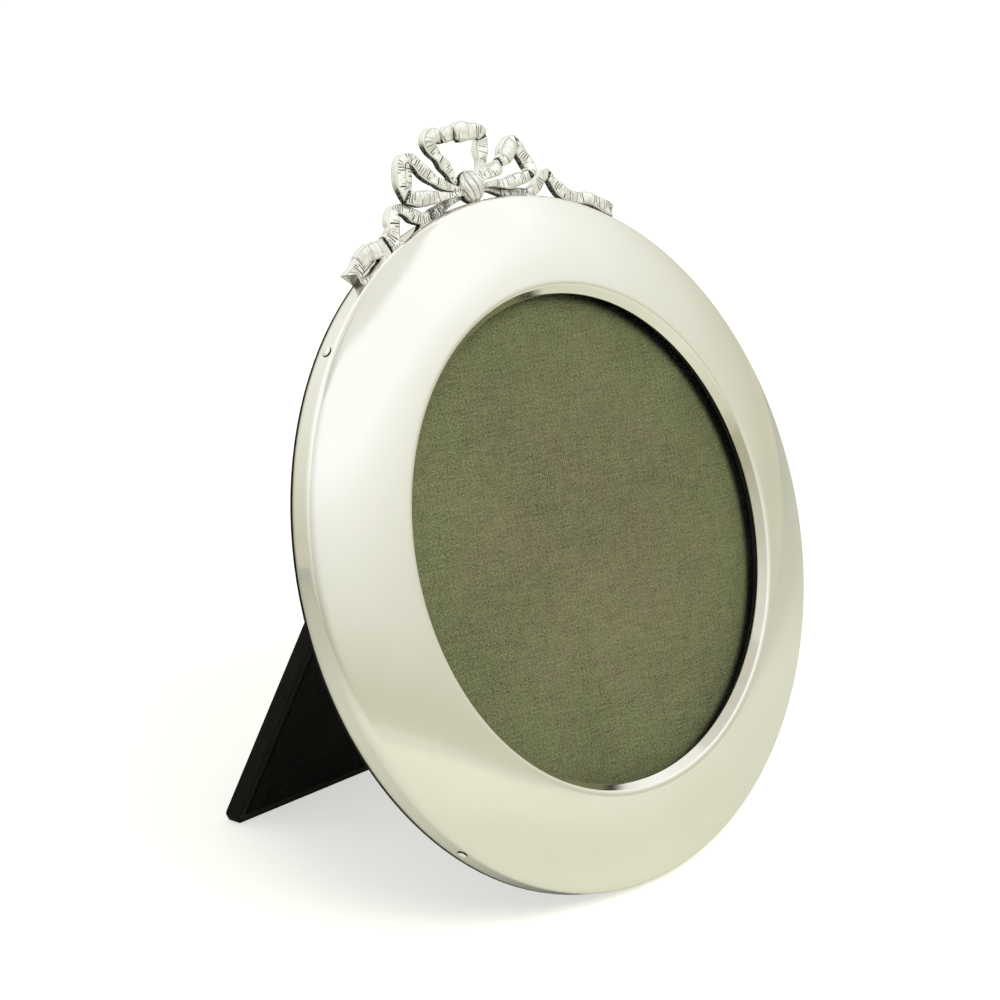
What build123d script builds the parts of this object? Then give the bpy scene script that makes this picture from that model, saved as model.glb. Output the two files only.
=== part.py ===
"""Round easel photo frame in silver with a ribbon bow crest.

Every piece is drawn in a bench frame: the frame lies with its back on the bench, X runs to the
right, Y runs up the frame and Z runs out of its front. The last lines stand all pieces up at the
frame's lean, with +Z up, the front towards -Y and the floor at Z = 0.
"""
from build123d import *
import os
from math import cos, pi, radians, sin

# Silver front
ring_radius = 89.0
silver_gauge = 0.6
rim_band = 5.7
rim_edge_round = 0.9
face_width = 24.4
face_bulge = 1.5
crest_height = 15.7
crest_round = 1.2
lip_width = 2.5
lip_drop = 1.6

# Black leathercloth on the back
facing_thickness = 1.2
facing_inset = 0.1

# Wooden carcass under the silver
cement_gap = 0.15
throat_setback = 1.5
rebate_margin = 6.4
ledge_height = 11.0

# Pieces laid into the rebate from behind
rebate_clearance = 0.5
glass_thickness = 1.8
cloth_thickness = 0.45
cloth_turn_in = 8.0
insert_thickness = 1.6
door_thickness = 4.0

# Pins through the rim
pin_count = 4
pin_start_angle = 45.0
pin_head_radius = 1.05
pin_head_height = 0.6
pin_shank_radius = 0.5
pin_shank_length = 7.0

# Turn buttons that hold the door
button_angles = {"top": 90.0, "left": 210.0, "right": 330.0}
button_overlap = 5.0
button_pivot_margin = 6.5
button_pivot_end_radius = 4.2
button_tip_radius = 2.8
button_thickness = 1.2
button_clearance = 0.1
button_screw_head_radius = 2.8
button_screw_head_height = 1.3
button_screw_shank_radius = 1.4
button_screw_length = 8.0

# Strut hinge
hinge_margin = 14.0
hinge_width = 24.0
hinge_gauge = 1.0
hinge_leaf_length = 16.0
knuckle_count = 5
knuckle_radius = 1.9
knuckle_gap = 0.3
hinge_pin_radius = 0.9
hinge_screw_head_radius = 1.7
hinge_screw_head_height = 0.6
hinge_screw_shank_radius = 0.9
hinge_screw_length = 3.6
hinge_screw_pitch = 13.0
hinge_screw_row_gap = 6.0

# Strut
lean_angle = 20.0
strut_opening = 40.0
strut_thickness = 5.0
strut_head_width = 40.0
strut_foot_width = 92.0
strut_heel = 7.2
strut_cover_thickness = 0.5
strut_lining_margin = 2.5
strut_corner_cut = 1.6
strut_edge_round = 0.9
strut_stop_gap = 0.1

# Ribbon bow
ribbon_width = 4.0
ribbon_gathered_width = 1.8
ribbon_gather_length = 9.0
ribbon_thickness = 1.5
ribbon_wave = 0.35
ribbon_station_step = 2.2
bow_front_depth = 4.4
bow_back_depth = 1.9
knot_radius = 4.1
knot_rise = 2.8
knot_depth = 4.0
knot_flutes = 11
knot_flute_depth = 0.6
knot_flute_twist = 15.0
knot_layers = 9
tail_notch_depth = 2.2
solder_gap = 0.04

# Fit of a fixed shank in its hole and of a moving one
fixed_fit = 0.03
running_fit = 0.08

# Ribbon centrelines, X across and Y above the rim's top
centre_loop_route = [
    (-2.2, 4.8), (-5.4, 7.6), (-8.6, 11.2), (-10.2, 14.6), (-8.8, 17.0), (-5.2, 17.2), (-0.8, 17.0),
    (4.0, 17.2), (7.4, 15.6), (7.4, 12.0), (5.6, 8.2), (2.6, 4.8),
]
left_loop_route = [
    (-3.0, 4.0), (-8.0, 6.4), (-13.0, 9.8), (-17.4, 12.6), (-21.0, 13.0), (-22.8, 10.6), (-23.4, 7.2),
    (-22.0, 4.4), (-18.0, 3.2), (-11.0, 2.2), (-3.0, 1.5),
]
right_loop_route = [
    (3.0, 4.0), (7.4, 5.4), (11.0, 7.8), (14.0, 10.4), (17.2, 11.8), (20.2, 10.2), (22.2, 7.0),
    (22.2, 3.6), (18.4, 2.0), (11.0, 1.9), (3.0, 1.5),
]
left_streamer_route = [
    (-2.4, 1.4), (-8.0, 0.9), (-13.4, 0.2), (-18.0, -0.2), (-23.4, 0.8), (-27.8, 1.4), (-30.8, -0.6),
    (-32.0, -3.8), (-35.0, -5.6), (-39.2, -5.6), (-42.8, -7.0), (-45.2, -9.6), (-48.4, -13.0),
]
right_streamer_route = [
    (2.4, 1.4), (8.0, 0.9), (13.4, 0.0), (18.8, -0.6), (22.8, 0.4), (26.6, 1.0), (29.8, -0.8),
    (32.8, -4.0), (36.6, -5.8), (40.6, -7.0), (44.4, -9.6), (48.4, -12.8),
]


# Values worked out from the sizes above
rim_bottom = facing_thickness
rim_top = rim_bottom + rim_band
crest_radius = ring_radius - face_width
sight_radius = crest_radius - lip_width
rebate_radius = sight_radius + rebate_margin
throat_radius = sight_radius + throat_setback
insert_radius = rebate_radius - rebate_clearance
facing_radius = ring_radius - facing_inset
glass_back = ledge_height - glass_thickness
board_front = glass_back - cloth_thickness
board_back = board_front - insert_thickness
packing_front = board_back - cloth_thickness
door_front = facing_thickness + door_thickness
pin_height = (rim_bottom + rim_top) / 2
button_pivot = rebate_radius + button_pivot_margin
button_reach = button_pivot - insert_radius + button_overlap
button_back = button_clearance + button_thickness
hinge_rise = insert_radius - hinge_margin
hinge_drop = knuckle_radius + knuckle_gap
leaf_start = knuckle_radius + 2 * knuckle_gap
knuckle_pitch = hinge_width / knuckle_count
lean = radians(lean_angle)
opening = radians(strut_opening)
stance = opening - lean
hinge_height = (hinge_rise + facing_radius) * cos(lean) - hinge_drop * sin(lean)
strut_reach = hinge_height / cos(stance)

floor_plane = Plane(origin=(0, -facing_radius, 0), x_dir=(1, 0, 0), z_dir=(0, cos(lean), sin(lean)))
stop_plane = Plane.XY.offset(-strut_stop_gap)
strut_plane = Plane(
    origin=(0, hinge_rise, -hinge_drop), x_dir=(1, 0, 0), z_dir=(0, sin(opening), -cos(opening))
)
door_leaf_plane = Plane(origin=(0, hinge_rise, -hinge_drop), x_dir=(-1, 0, 0), z_dir=(0, 0, 1))


def ring_band(inner, outer, low, high):
    """A washer about the frame's axis, or a disc where the inner radius is 0."""
    with BuildPart() as band:
        with BuildSketch(Plane.XY.offset(low)):
            Circle(outer)
            if inner > 0:
                Circle(inner, mode=Mode.SUBTRACT)
        extrude(amount=high - low)
    return band.part


def headed_pin(head_radius, head_height, shank_radius, shank_length, slot_width=0.0):
    """A dome-headed pin or screw: its shank runs down from Z = 0, its head stands up from there."""
    with BuildPart() as pin:
        with BuildSketch(Plane.XZ):
            with BuildLine():
                Polyline((0, head_height), (0, -shank_length), (shank_radius, -shank_length),
                         (shank_radius, 0), (head_radius, 0))
                RadiusArc((head_radius, 0), (0, head_height),
                          -(head_radius**2 + head_height**2) / (2 * head_height))
            make_face()
        revolve(axis=Axis.Z)
        if slot_width > 0:
            with Locations((0, 0, head_height)):
                Box(3 * head_radius, slot_width, head_height, mode=Mode.SUBTRACT)
    return pin.part


def rim_spots():
    """Places of the rim pins, with local Z out of the rim."""
    step = 360 / pin_count
    spots = []
    for index in range(pin_count):
        turn = Location((0, 0, 0), (0, 0, pin_start_angle + index * step))
        spots.append(turn * Location((ring_radius, 0, pin_height), (0, 90, 0)))
    return spots


def button_spots():
    """Places of the turn-button screws on the back, with local Z out of the back."""
    spots = []
    for angle in button_angles.values():
        turn = Location((0, 0, 0), (0, 0, angle))
        spots.append(turn * Location((button_pivot, 0, 0), (180, 0, 0)))
    return spots


def leaf_screw_spots(leaf_plane):
    """Places of a hinge leaf's four screws, on the leaf's open side, with local Z out of the leaf."""
    outer_side = hinge_drop - hinge_gauge
    middle = leaf_start + hinge_leaf_length / 2
    spots = []
    for across in (-hinge_screw_pitch / 2, hinge_screw_pitch / 2):
        for down in (middle - hinge_screw_row_gap / 2, middle + hinge_screw_row_gap / 2):
            spot = Location((across, down, outer_side), (180, 0, 0))
            spots.append(leaf_plane.location * spot)
    return spots


# Outline of everything under the silver's outer surface, run out past the sight edge and the rim
lip_slope = lip_drop / (crest_radius - sight_radius)
run_out = rim_band
with BuildSketch(Plane.XZ) as front_outline:
    with BuildLine():
        inner_end = (sight_radius - run_out, crest_height - lip_drop - lip_slope * run_out)
        Polyline((crest_radius, crest_height), inner_end, (inner_end[0], -run_out),
                 (ring_radius, -run_out), (ring_radius, rim_top))
        SagittaArc((ring_radius, rim_top), (crest_radius, crest_height), -face_bulge)
    make_face()
    fillet(front_outline.vertices().sort_by_distance((ring_radius, rim_top))[0], rim_edge_round)
    fillet(front_outline.vertices().sort_by_distance((crest_radius, crest_height))[0], crest_round)

# Silver front: a spun shell with rim band, bulged face, crest and inner lip
with BuildPart() as silver_front:
    with BuildSketch(Plane.XZ):
        add(front_outline.sketch_local)
        offset(front_outline.sketch_local, amount=-silver_gauge, kind=Kind.INTERSECTION,
               mode=Mode.SUBTRACT)
        with Locations((sight_radius, rim_bottom)):
            Rectangle(ring_radius - sight_radius, 2 * crest_height,
                      align=(Align.MIN, Align.MIN), mode=Mode.INTERSECT)
    revolve(axis=Axis.Z)
    with Locations(*rim_spots()):
        Cylinder(pin_shank_radius + fixed_fit, 4 * silver_gauge, mode=Mode.SUBTRACT)

# Wooden carcass: fills the shell and carries the rebate
with BuildPart() as carcass_ring:
    with BuildSketch(Plane.XZ):
        offset(front_outline.sketch_local, amount=-(silver_gauge + cement_gap), kind=Kind.INTERSECTION)
        with Locations((throat_radius, rim_bottom)):
            Rectangle(ring_radius - throat_radius, 2 * crest_height,
                      align=(Align.MIN, Align.MIN), mode=Mode.INTERSECT)
        with Locations((0, rim_bottom)):
            Rectangle(rebate_radius, ledge_height - rim_bottom,
                      align=(Align.MIN, Align.MIN), mode=Mode.SUBTRACT)
    revolve(axis=Axis.Z)
    with Locations(*rim_spots()):
        Cylinder(pin_shank_radius + fixed_fit, 2 * pin_shank_length, mode=Mode.SUBTRACT)
    with Locations(*button_spots()):
        Cylinder(button_screw_shank_radius + fixed_fit, 2 * button_screw_length, mode=Mode.SUBTRACT)

# Pins that hold the silver on the carcass
with BuildPart() as rim_pins:
    with Locations(*rim_spots()):
        add(headed_pin(pin_head_radius, pin_head_height, pin_shank_radius, pin_shank_length))

# Glass pane on the rebate's ledge
with BuildPart() as glass_pane:
    add(ring_band(0, insert_radius, glass_back, ledge_height))

# Insert: a card covered with cloth that is turned in round its edge
with BuildPart() as insert_board:
    add(ring_band(0, insert_radius - cloth_thickness, board_back, board_front))

with BuildPart() as insert_cloth:
    add(ring_band(0, insert_radius, packing_front, glass_back))
    add(insert_board.part, mode=Mode.SUBTRACT)
    add(ring_band(0, insert_radius - cloth_turn_in, packing_front, board_back), mode=Mode.SUBTRACT)

# Packing card between the insert and the door
with BuildPart() as packing_card:
    add(ring_band(0, insert_radius, door_front, packing_front))

# Back door with its leathercloth facing, and the facing of the ring round it
with BuildPart() as back_door:
    add(ring_band(0, insert_radius, facing_thickness, door_front))
    with Locations(*leaf_screw_spots(door_leaf_plane)):
        Cylinder(hinge_screw_shank_radius + fixed_fit, 2 * hinge_screw_length, mode=Mode.SUBTRACT)

with BuildPart() as door_facing:
    add(ring_band(0, insert_radius, 0, facing_thickness))
    with Locations(*leaf_screw_spots(door_leaf_plane)):
        Cylinder(hinge_screw_shank_radius + fixed_fit, 2 * hinge_screw_length, mode=Mode.SUBTRACT)

with BuildPart() as back_facing:
    add(ring_band(rebate_radius, facing_radius, 0, facing_thickness))
    with Locations(*button_spots()):
        Cylinder(button_screw_shank_radius + fixed_fit, 2 * button_screw_length, mode=Mode.SUBTRACT)

# Turn buttons, each on its own screw
turn_buttons = {}
for side, angle in button_angles.items():
    outward = (cos(radians(angle)), sin(radians(angle)), 0)
    button_plane = Plane(origin=(0, 0, -button_clearance), x_dir=outward, z_dir=(0, 0, -1))
    with BuildPart() as turn_button:
        with BuildSketch(button_plane):
            with Locations((button_pivot, 0)):
                Circle(button_pivot_end_radius)
            with Locations((button_pivot - button_reach + button_tip_radius, 0)):
                Circle(button_tip_radius)
            make_hull()
            with Locations((button_pivot, 0)):
                Circle(button_screw_shank_radius + running_fit, mode=Mode.SUBTRACT)
        extrude(amount=button_thickness)
        outer_face = turn_button.faces().sort_by(Axis.Z)[0]
        fillet(outer_face.outer_wire().edges(), button_thickness / 3)
    turn_buttons[f"turn_button_{side}"] = turn_button

with BuildPart() as turn_button_screws:
    for spot in button_spots():
        with Locations(spot * Location((0, 0, button_back + button_clearance))):
            add(headed_pin(button_screw_head_radius, button_screw_head_height, button_screw_shank_radius,
                           button_screw_length, slot_width=button_screw_head_height / 2))


def hinge_leaf(first_knuckle, bore_radius):
    """A hinge leaf in its own plane: X along the pin, Y down the leaf, Z from the pin to the leaf."""
    with BuildPart() as leaf:
        with Locations((0, leaf_start, hinge_drop)):
            Box(hinge_width, hinge_leaf_length, hinge_gauge, align=(Align.CENTER, Align.MIN, Align.MAX))
        for index in range(first_knuckle, knuckle_count, 2):
            middle = (index + 0.5) * knuckle_pitch - hinge_width / 2
            with Locations((middle, 0, hinge_drop)):
                Box(knuckle_pitch - knuckle_gap, leaf_start, hinge_gauge,
                    align=(Align.CENTER, Align.MIN, Align.MAX))
            with Locations(Location((middle, 0, 0), (0, 90, 0))):
                Cylinder(knuckle_radius, knuckle_pitch - knuckle_gap)
        with Locations(Location((0, 0, 0), (0, 90, 0))):
            Cylinder(bore_radius, hinge_width, mode=Mode.SUBTRACT)
        with Locations(*leaf_screw_spots(Plane.XY)):
            Cylinder(hinge_screw_shank_radius + fixed_fit, 2 * hinge_screw_length, mode=Mode.SUBTRACT)
    return leaf.part


def leaf_screws():
    """The four screws of one leaf, in the leaf's own plane."""
    with BuildPart() as screws:
        with Locations(*leaf_screw_spots(Plane.XY)):
            add(headed_pin(hinge_screw_head_radius, hinge_screw_head_height, hinge_screw_shank_radius,
                           hinge_screw_length))
    return screws.part


# Strut hinge: one leaf on the door, one on the strut, turning on a pin
with BuildPart() as hinge_door_leaf:
    with Locations(door_leaf_plane.location):
        add(hinge_leaf(0, hinge_pin_radius + fixed_fit))

with BuildPart() as hinge_strut_leaf:
    with Locations(strut_plane.location):
        add(hinge_leaf(1, hinge_pin_radius + running_fit))

with BuildPart() as hinge_pin:
    with BuildSketch(Plane.YZ.offset(-hinge_width / 2)):
        with Locations((hinge_rise, -hinge_drop)):
            Circle(hinge_pin_radius)
    extrude(amount=hinge_width)

with BuildPart() as hinge_door_screws:
    with Locations(door_leaf_plane.location):
        add(leaf_screws())

with BuildPart() as hinge_strut_screws:
    with Locations(strut_plane.location):
        add(leaf_screws())


def strut_blank(inset, near, far, corner_cut=0.0):
    """The strut's tapered outline between two depths, cut to the floor and to its stop on the door."""
    flare = (strut_foot_width - strut_head_width) / 2 / strut_reach
    top = -strut_heel
    bottom = strut_reach + 2 * strut_thickness
    top_half = strut_head_width / 2 + flare * top
    bottom_half = strut_head_width / 2 + flare * bottom
    with BuildPart() as blank:
        with BuildSketch(strut_plane.offset(hinge_drop + near)):
            with BuildLine():
                Polyline((-top_half, top), (top_half, top), (bottom_half, bottom), (-bottom_half, bottom),
                         close=True)
            make_face()
            if inset > 0:
                offset(amount=-inset, kind=Kind.INTERSECTION)
        extrude(amount=far - near)
        split(bisect_by=floor_plane.offset(inset), keep=Keep.TOP)
        split(bisect_by=stop_plane.offset(-inset), keep=Keep.BOTTOM)
        if corner_cut > 0:
            side_faces = blank.faces().sort_by(Axis.X)
            foot_edges = [face.edges().sort_by(Axis.Y)[0] for face in (side_faces[0], side_faces[-1])]
            chamfer(foot_edges, corner_cut)
    return blank.part


# Strut: a board in a leathercloth cover that is turned over its edges, with a lining inside
with BuildPart() as strut_board:
    add(strut_blank(strut_cover_thickness, strut_cover_thickness, strut_thickness - strut_cover_thickness,
                    strut_corner_cut))
    board_blank = strut_board.part
    with Locations(*leaf_screw_spots(strut_plane)):
        Cylinder(hinge_screw_shank_radius + fixed_fit, 2 * hinge_screw_length, mode=Mode.SUBTRACT)

with BuildPart() as strut_lining:
    add(strut_blank(strut_lining_margin, 0, strut_cover_thickness))
    with Locations(*leaf_screw_spots(strut_plane)):
        Cylinder(hinge_screw_shank_radius + fixed_fit, 2 * hinge_screw_length, mode=Mode.SUBTRACT)

with BuildPart() as strut_cover:
    add(strut_blank(0, strut_cover_thickness, strut_thickness, strut_corner_cut))
    outer_face = strut_cover.faces().sort_by(Axis(strut_plane.origin, strut_plane.z_dir))[-1]
    fillet(outer_face.edges().sort_by(Axis.X)[0], strut_edge_round)
    outer_face = strut_cover.faces().sort_by(Axis(strut_plane.origin, strut_plane.z_dir))[-1]
    fillet(outer_face.edges().sort_by(Axis.X)[-1], strut_edge_round)
    add(board_blank, mode=Mode.SUBTRACT)


def gathered(distance):
    """Ribbon width at a distance from the knot: drawn in at the knot, full past the gather."""
    share = min(1.0, max(0.0, distance / ribbon_gather_length))
    eased = share * share * (3 - 2 * share)
    return ribbon_gathered_width + (ribbon_width - ribbon_gathered_width) * eased


def ribbon_centreline(route, depth):
    """The ribbon's middle line at one depth in front of the frame's back."""
    with BuildLine(Plane.XY.offset(depth)) as centreline:
        Spline(*[(across, ring_radius + above) for across, above in route])
    return centreline.edge()


def ribbon(route, depth, returns):
    """A flat ribbon, face to the front, that waves gently; a ribbon that returns is a loop."""
    line = ribbon_centreline(route, depth)
    length = line.length
    stations = round(length / ribbon_station_step)
    pleats = round(length / (4 * ribbon_width))
    with BuildPart() as band:
        for index in range(stations + 1):
            share = index / stations
            from_knot = share * length
            if returns:
                from_knot = min(from_knot, length - from_knot)
            forward = line % share
            middle = (line @ share) + Vector(0, 0, ribbon_wave * sin(2 * pi * pleats * share))
            across = forward.cross(Vector(0, 0, 1))
            with BuildSketch(Plane(origin=middle, x_dir=across, z_dir=forward)):
                Rectangle(gathered(from_knot), ribbon_thickness)
        loft()
    return band.part


def tail_notch(route):
    """The swallow-tail cut in a streamer's end."""
    line = ribbon_centreline(route, bow_back_depth)
    notch_plane = Plane(origin=line @ 1, x_dir=(line % 1).cross(Vector(0, 0, 1)), z_dir=(0, 0, 1))
    with BuildPart() as notch:
        with BuildSketch(notch_plane):
            Polygon((-ribbon_width / 3, ribbon_thickness), (0, -tail_notch_depth),
                    (ribbon_width / 3, ribbon_thickness), align=None)
        extrude(amount=2 * ribbon_thickness, both=True)
    return notch.part


def fluted_ring(radius, twist):
    """Corners of a pleated ring: a fold and a hollow by turns, the hollow as deep as the ring allows."""
    depth = knot_flute_depth * radius / knot_radius
    corners = []
    for index in range(2 * knot_flutes):
        angle = pi * index / knot_flutes + twist
        reach = radius - depth * (index % 2)
        corners.append((reach * cos(angle), reach * sin(angle)))
    return corners


# Ribbon bow: knot, three loops and two streamers, soldered on the rim
with BuildPart() as rim_seat:
    with BuildSketch(Plane.XZ):
        offset(front_outline.sketch_local, amount=solder_gap)
    revolve(axis=Axis.Z)

knot_middle = Vector(0, ring_radius + knot_rise, knot_depth)
with BuildPart() as knot_ball:
    with Locations(knot_middle):
        Sphere(knot_radius + solder_gap)

with BuildPart() as bow_knot:
    for layer in range(knot_layers):
        polar = pi * (1 - (layer + 0.5) / knot_layers)
        level_plane = Plane(
            origin=knot_middle + Vector(0, knot_radius * cos(polar), 0), x_dir=(1, 0, 0), z_dir=(0, 1, 0)
        )
        flute_turn = radians(knot_flute_twist) * cos(polar)
        with BuildSketch(level_plane):
            with BuildLine():
                Polyline(*fluted_ring(knot_radius * sin(polar), flute_turn), close=True)
            make_face()
    loft()
    add(rim_seat.part, mode=Mode.SUBTRACT)

with BuildPart() as bow_centre_loop:
    add(ribbon(centre_loop_route, bow_back_depth, returns=True))
    add(knot_ball.part, mode=Mode.SUBTRACT)

with BuildPart() as bow_left_loop:
    add(ribbon(left_loop_route, bow_front_depth, returns=True))
    add(knot_ball.part, mode=Mode.SUBTRACT)

with BuildPart() as bow_right_loop:
    add(ribbon(right_loop_route, bow_front_depth, returns=True))
    add(knot_ball.part, mode=Mode.SUBTRACT)

with BuildPart() as bow_left_streamer:
    add(ribbon(left_streamer_route, bow_back_depth, returns=False))
    add(tail_notch(left_streamer_route), mode=Mode.SUBTRACT)
    add(knot_ball.part, mode=Mode.SUBTRACT)
    add(rim_seat.part, mode=Mode.SUBTRACT)

with BuildPart() as bow_right_streamer:
    add(ribbon(right_streamer_route, bow_back_depth, returns=False))
    add(tail_notch(right_streamer_route), mode=Mode.SUBTRACT)
    add(knot_ball.part, mode=Mode.SUBTRACT)
    add(rim_seat.part, mode=Mode.SUBTRACT)

# Stand every piece up at the frame's lean, with the back's lower edge on the floor and the
# origin in the middle of the part's footprint
pieces = {
    "silver_front": silver_front,
    "rim_pins": rim_pins,
    "bow_knot": bow_knot,
    "bow_centre_loop": bow_centre_loop,
    "bow_left_loop": bow_left_loop,
    "bow_right_loop": bow_right_loop,
    "bow_left_streamer": bow_left_streamer,
    "bow_right_streamer": bow_right_streamer,
    "carcass_ring": carcass_ring,
    "back_facing": back_facing,
    "glass_pane": glass_pane,
    "insert_cloth": insert_cloth,
    "insert_board": insert_board,
    "packing_card": packing_card,
    "back_door": back_door,
    "door_facing": door_facing,
    **turn_buttons,
    "turn_button_screws": turn_button_screws,
    "hinge_door_leaf": hinge_door_leaf,
    "hinge_strut_leaf": hinge_strut_leaf,
    "hinge_pin": hinge_pin,
    "hinge_door_screws": hinge_door_screws,
    "hinge_strut_screws": hinge_strut_screws,
    "strut_board": strut_board,
    "strut_lining": strut_lining,
    "strut_cover": strut_cover,
}
os.makedirs("parts", exist_ok=True)
tilt = Location((0, 0, facing_radius * cos(lean)), (90 - lean_angle, 0, 0))
tilted_box = Compound(children=[piece.part.moved(tilt) for piece in pieces.values()]).bounding_box()
stand = Location((0, -tilted_box.center().Y, 0)) * tilt
for name, piece in pieces.items():
    piece.part.label = name
    piece.part.locate(stand)
    export_step(piece.part, f"parts/{name}.step")
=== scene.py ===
"""Looks of a round silver easel photo frame with a ribbon bow on its rim.

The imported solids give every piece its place. Polished silver, the bow, the cloth and the small fasteners
are made again here with the detail that the solids leave out; the other pieces keep their solids and get
a finish.
"""
import logging
import math
from dataclasses import dataclass
from enum import Enum

import bmesh
import bpy
import numpy as np
from mathutils import Matrix, Vector


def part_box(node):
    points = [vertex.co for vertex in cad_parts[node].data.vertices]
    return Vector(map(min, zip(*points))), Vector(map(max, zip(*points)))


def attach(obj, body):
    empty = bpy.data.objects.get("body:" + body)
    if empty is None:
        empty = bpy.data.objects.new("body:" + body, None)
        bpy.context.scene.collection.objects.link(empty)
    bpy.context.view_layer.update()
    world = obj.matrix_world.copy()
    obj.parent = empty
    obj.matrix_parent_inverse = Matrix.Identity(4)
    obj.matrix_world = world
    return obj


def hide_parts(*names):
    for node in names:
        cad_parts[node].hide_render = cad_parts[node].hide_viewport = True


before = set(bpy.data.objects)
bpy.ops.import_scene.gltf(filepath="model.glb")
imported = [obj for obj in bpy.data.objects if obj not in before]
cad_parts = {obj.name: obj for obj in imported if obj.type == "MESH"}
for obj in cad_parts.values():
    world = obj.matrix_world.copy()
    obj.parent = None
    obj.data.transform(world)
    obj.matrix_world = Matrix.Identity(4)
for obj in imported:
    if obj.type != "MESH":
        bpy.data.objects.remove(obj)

log = logging.getLogger("photo_frame")
MM = 0.001
WELD_MM = 1e-4
Span = tuple[float, float]
Triple = tuple[float, float, float]
Colour = Triple


@dataclass(frozen=True)
class Bench:
    """The maker's bench, in millimetres: the frame on its back, Y up the frame and Z out of its front."""

    lean_degrees: float = 20.0
    glass_middle: float = 10.1

    def stand(self) -> Matrix:
        """The move from the bench to the standing part, in metres."""
        low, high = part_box("glass_pane")
        turn = Matrix.Rotation(math.radians(90.0 - self.lean_degrees), 4, "X")
        middle = turn @ Vector((0.0, 0.0, self.glass_middle * MM))
        return Matrix.Translation((low + high) / 2 - middle) @ turn @ Matrix.Scale(MM, 4)


STAND = Bench().stand()


class Body(Enum):
    """The bodies that pieces ride on."""

    FRAME = "frame"
    STRUT = "strut"


def link_piece(name: str, mesh: bpy.types.Mesh) -> bpy.types.Object:
    """Put a finished mesh in the scene.

    Args:
        name: Name of the new piece.
        mesh: Its mesh, in the part's own frame.

    Returns:
        The new object, at the origin.
    """
    piece = bpy.data.objects.new(name, mesh)
    bpy.context.scene.collection.objects.link(piece)
    return piece


def mark(mesh: bpy.types.Mesh, name: str, values: np.ndarray | list[float]) -> None:
    """Store a number on every point of a mesh under a name."""
    stored = mesh.attributes.new(name, "FLOAT", "POINT")
    stored.data.foreach_set("value", np.asarray(values, dtype=np.float32).reshape(-1))


def bench_mesh(name: str, points: np.ndarray, faces: list[tuple[int, ...]],
               marks: dict[str, np.ndarray] | None = None) -> bpy.types.Mesh:
    """Make a smooth mesh from points on the bench and stand it up.

    Args:
        name: Name of the mesh.
        points: Points in bench millimetres, one row each.
        faces: Corner numbers of each face, seen from outside anticlockwise.
        marks: Numbers to store on the points, by name.

    Returns:
        The mesh in the part's own frame, in metres.
    """
    mesh = bpy.data.meshes.new(name)
    mesh.from_pydata(points.tolist(), [], faces)
    for key, values in (marks or {}).items():
        mark(mesh, key, values)
    tidy = bmesh.new()
    tidy.from_mesh(mesh)
    bmesh.ops.remove_doubles(tidy, verts=tidy.verts, dist=WELD_MM)
    tidy.to_mesh(mesh)
    tidy.free()
    mesh.transform(STAND)
    mesh.polygons.foreach_set("use_smooth", [True] * len(mesh.polygons))
    mesh.update()
    return mesh


def grid_faces(rows: int, columns: int, wrap_rows: bool, wrap_columns: bool) -> list[tuple[int, ...]]:
    """Faces of a grid of points.

    Args:
        rows: Number of rows.
        columns: Points in each row.
        wrap_rows: Whether the last row joins the first.
        wrap_columns: Whether each row's last point joins its first.

    Returns:
        One four-cornered face per grid cell.
    """
    faces = []
    for row in range(rows if wrap_rows else rows - 1):
        after = (row + 1) % rows
        for column in range(columns if wrap_columns else columns - 1):
            beside = (column + 1) % columns
            faces.append((row * columns + column, after * columns + column,
                          after * columns + beside, row * columns + beside))
    return faces


def spun(name: str, profile: np.ndarray, segments: int, closed: bool) -> bpy.types.Mesh:
    """Spin a profile about the frame's axis.

    Args:
        name: Name of the mesh.
        profile: Radius and height of each point, anticlockwise round the material.
        segments: Steps of a full turn.
        closed: Whether the profile's last point joins its first.

    Returns:
        The spun mesh, stood up.
    """
    turns = np.linspace(0.0, 2.0 * math.pi, segments, endpoint=False)
    points = np.zeros((segments, len(profile), 3))
    points[:, :, 0] = np.cos(turns)[:, None] * profile[None, :, 0]
    points[:, :, 1] = np.sin(turns)[:, None] * profile[None, :, 0]
    points[:, :, 2] = profile[None, :, 1]
    return bench_mesh(name, points.reshape(-1, 3), grid_faces(segments, len(profile), True, closed))


def rounded_corner(before: np.ndarray, corner: np.ndarray, after: np.ndarray, steps: int) -> np.ndarray:
    """Round a corner between two points.

    Args:
        before: Where the rounding starts.
        corner: The sharp corner.
        after: Where the rounding ends.
        steps: Number of spans.

    Returns:
        Points from before to after.
    """
    share = np.linspace(0.0, 1.0, steps + 1)[:, None]
    return (1 - share) ** 2 * before + 2 * share * (1 - share) * corner + share**2 * after


class Wire:
    """An output in a node tree that can be reckoned with like a number."""

    def __init__(self, board: "NodeBoard", socket: bpy.types.NodeSocket) -> None:
        """Take one output of a board."""
        self.board = board
        self.socket = socket

    def __add__(self, other: object) -> "Wire":
        """This plus another."""
        return self.board.math("ADD", self, other)

    def __radd__(self, other: object) -> "Wire":
        """A number plus this."""
        return self.board.math("ADD", other, self)

    def __sub__(self, other: object) -> "Wire":
        """This less another."""
        return self.board.math("SUBTRACT", self, other)

    def __rsub__(self, other: object) -> "Wire":
        """A number less this."""
        return self.board.math("SUBTRACT", other, self)

    def __mul__(self, other: object) -> "Wire":
        """This times another."""
        return self.board.math("MULTIPLY", self, other)

    def __truediv__(self, other: object) -> "Wire":
        """This divided by another."""
        return self.board.math("DIVIDE", self, other)

    def __abs__(self) -> "Wire":
        """This without its sign."""
        return self.board.math("ABSOLUTE", self)


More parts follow.
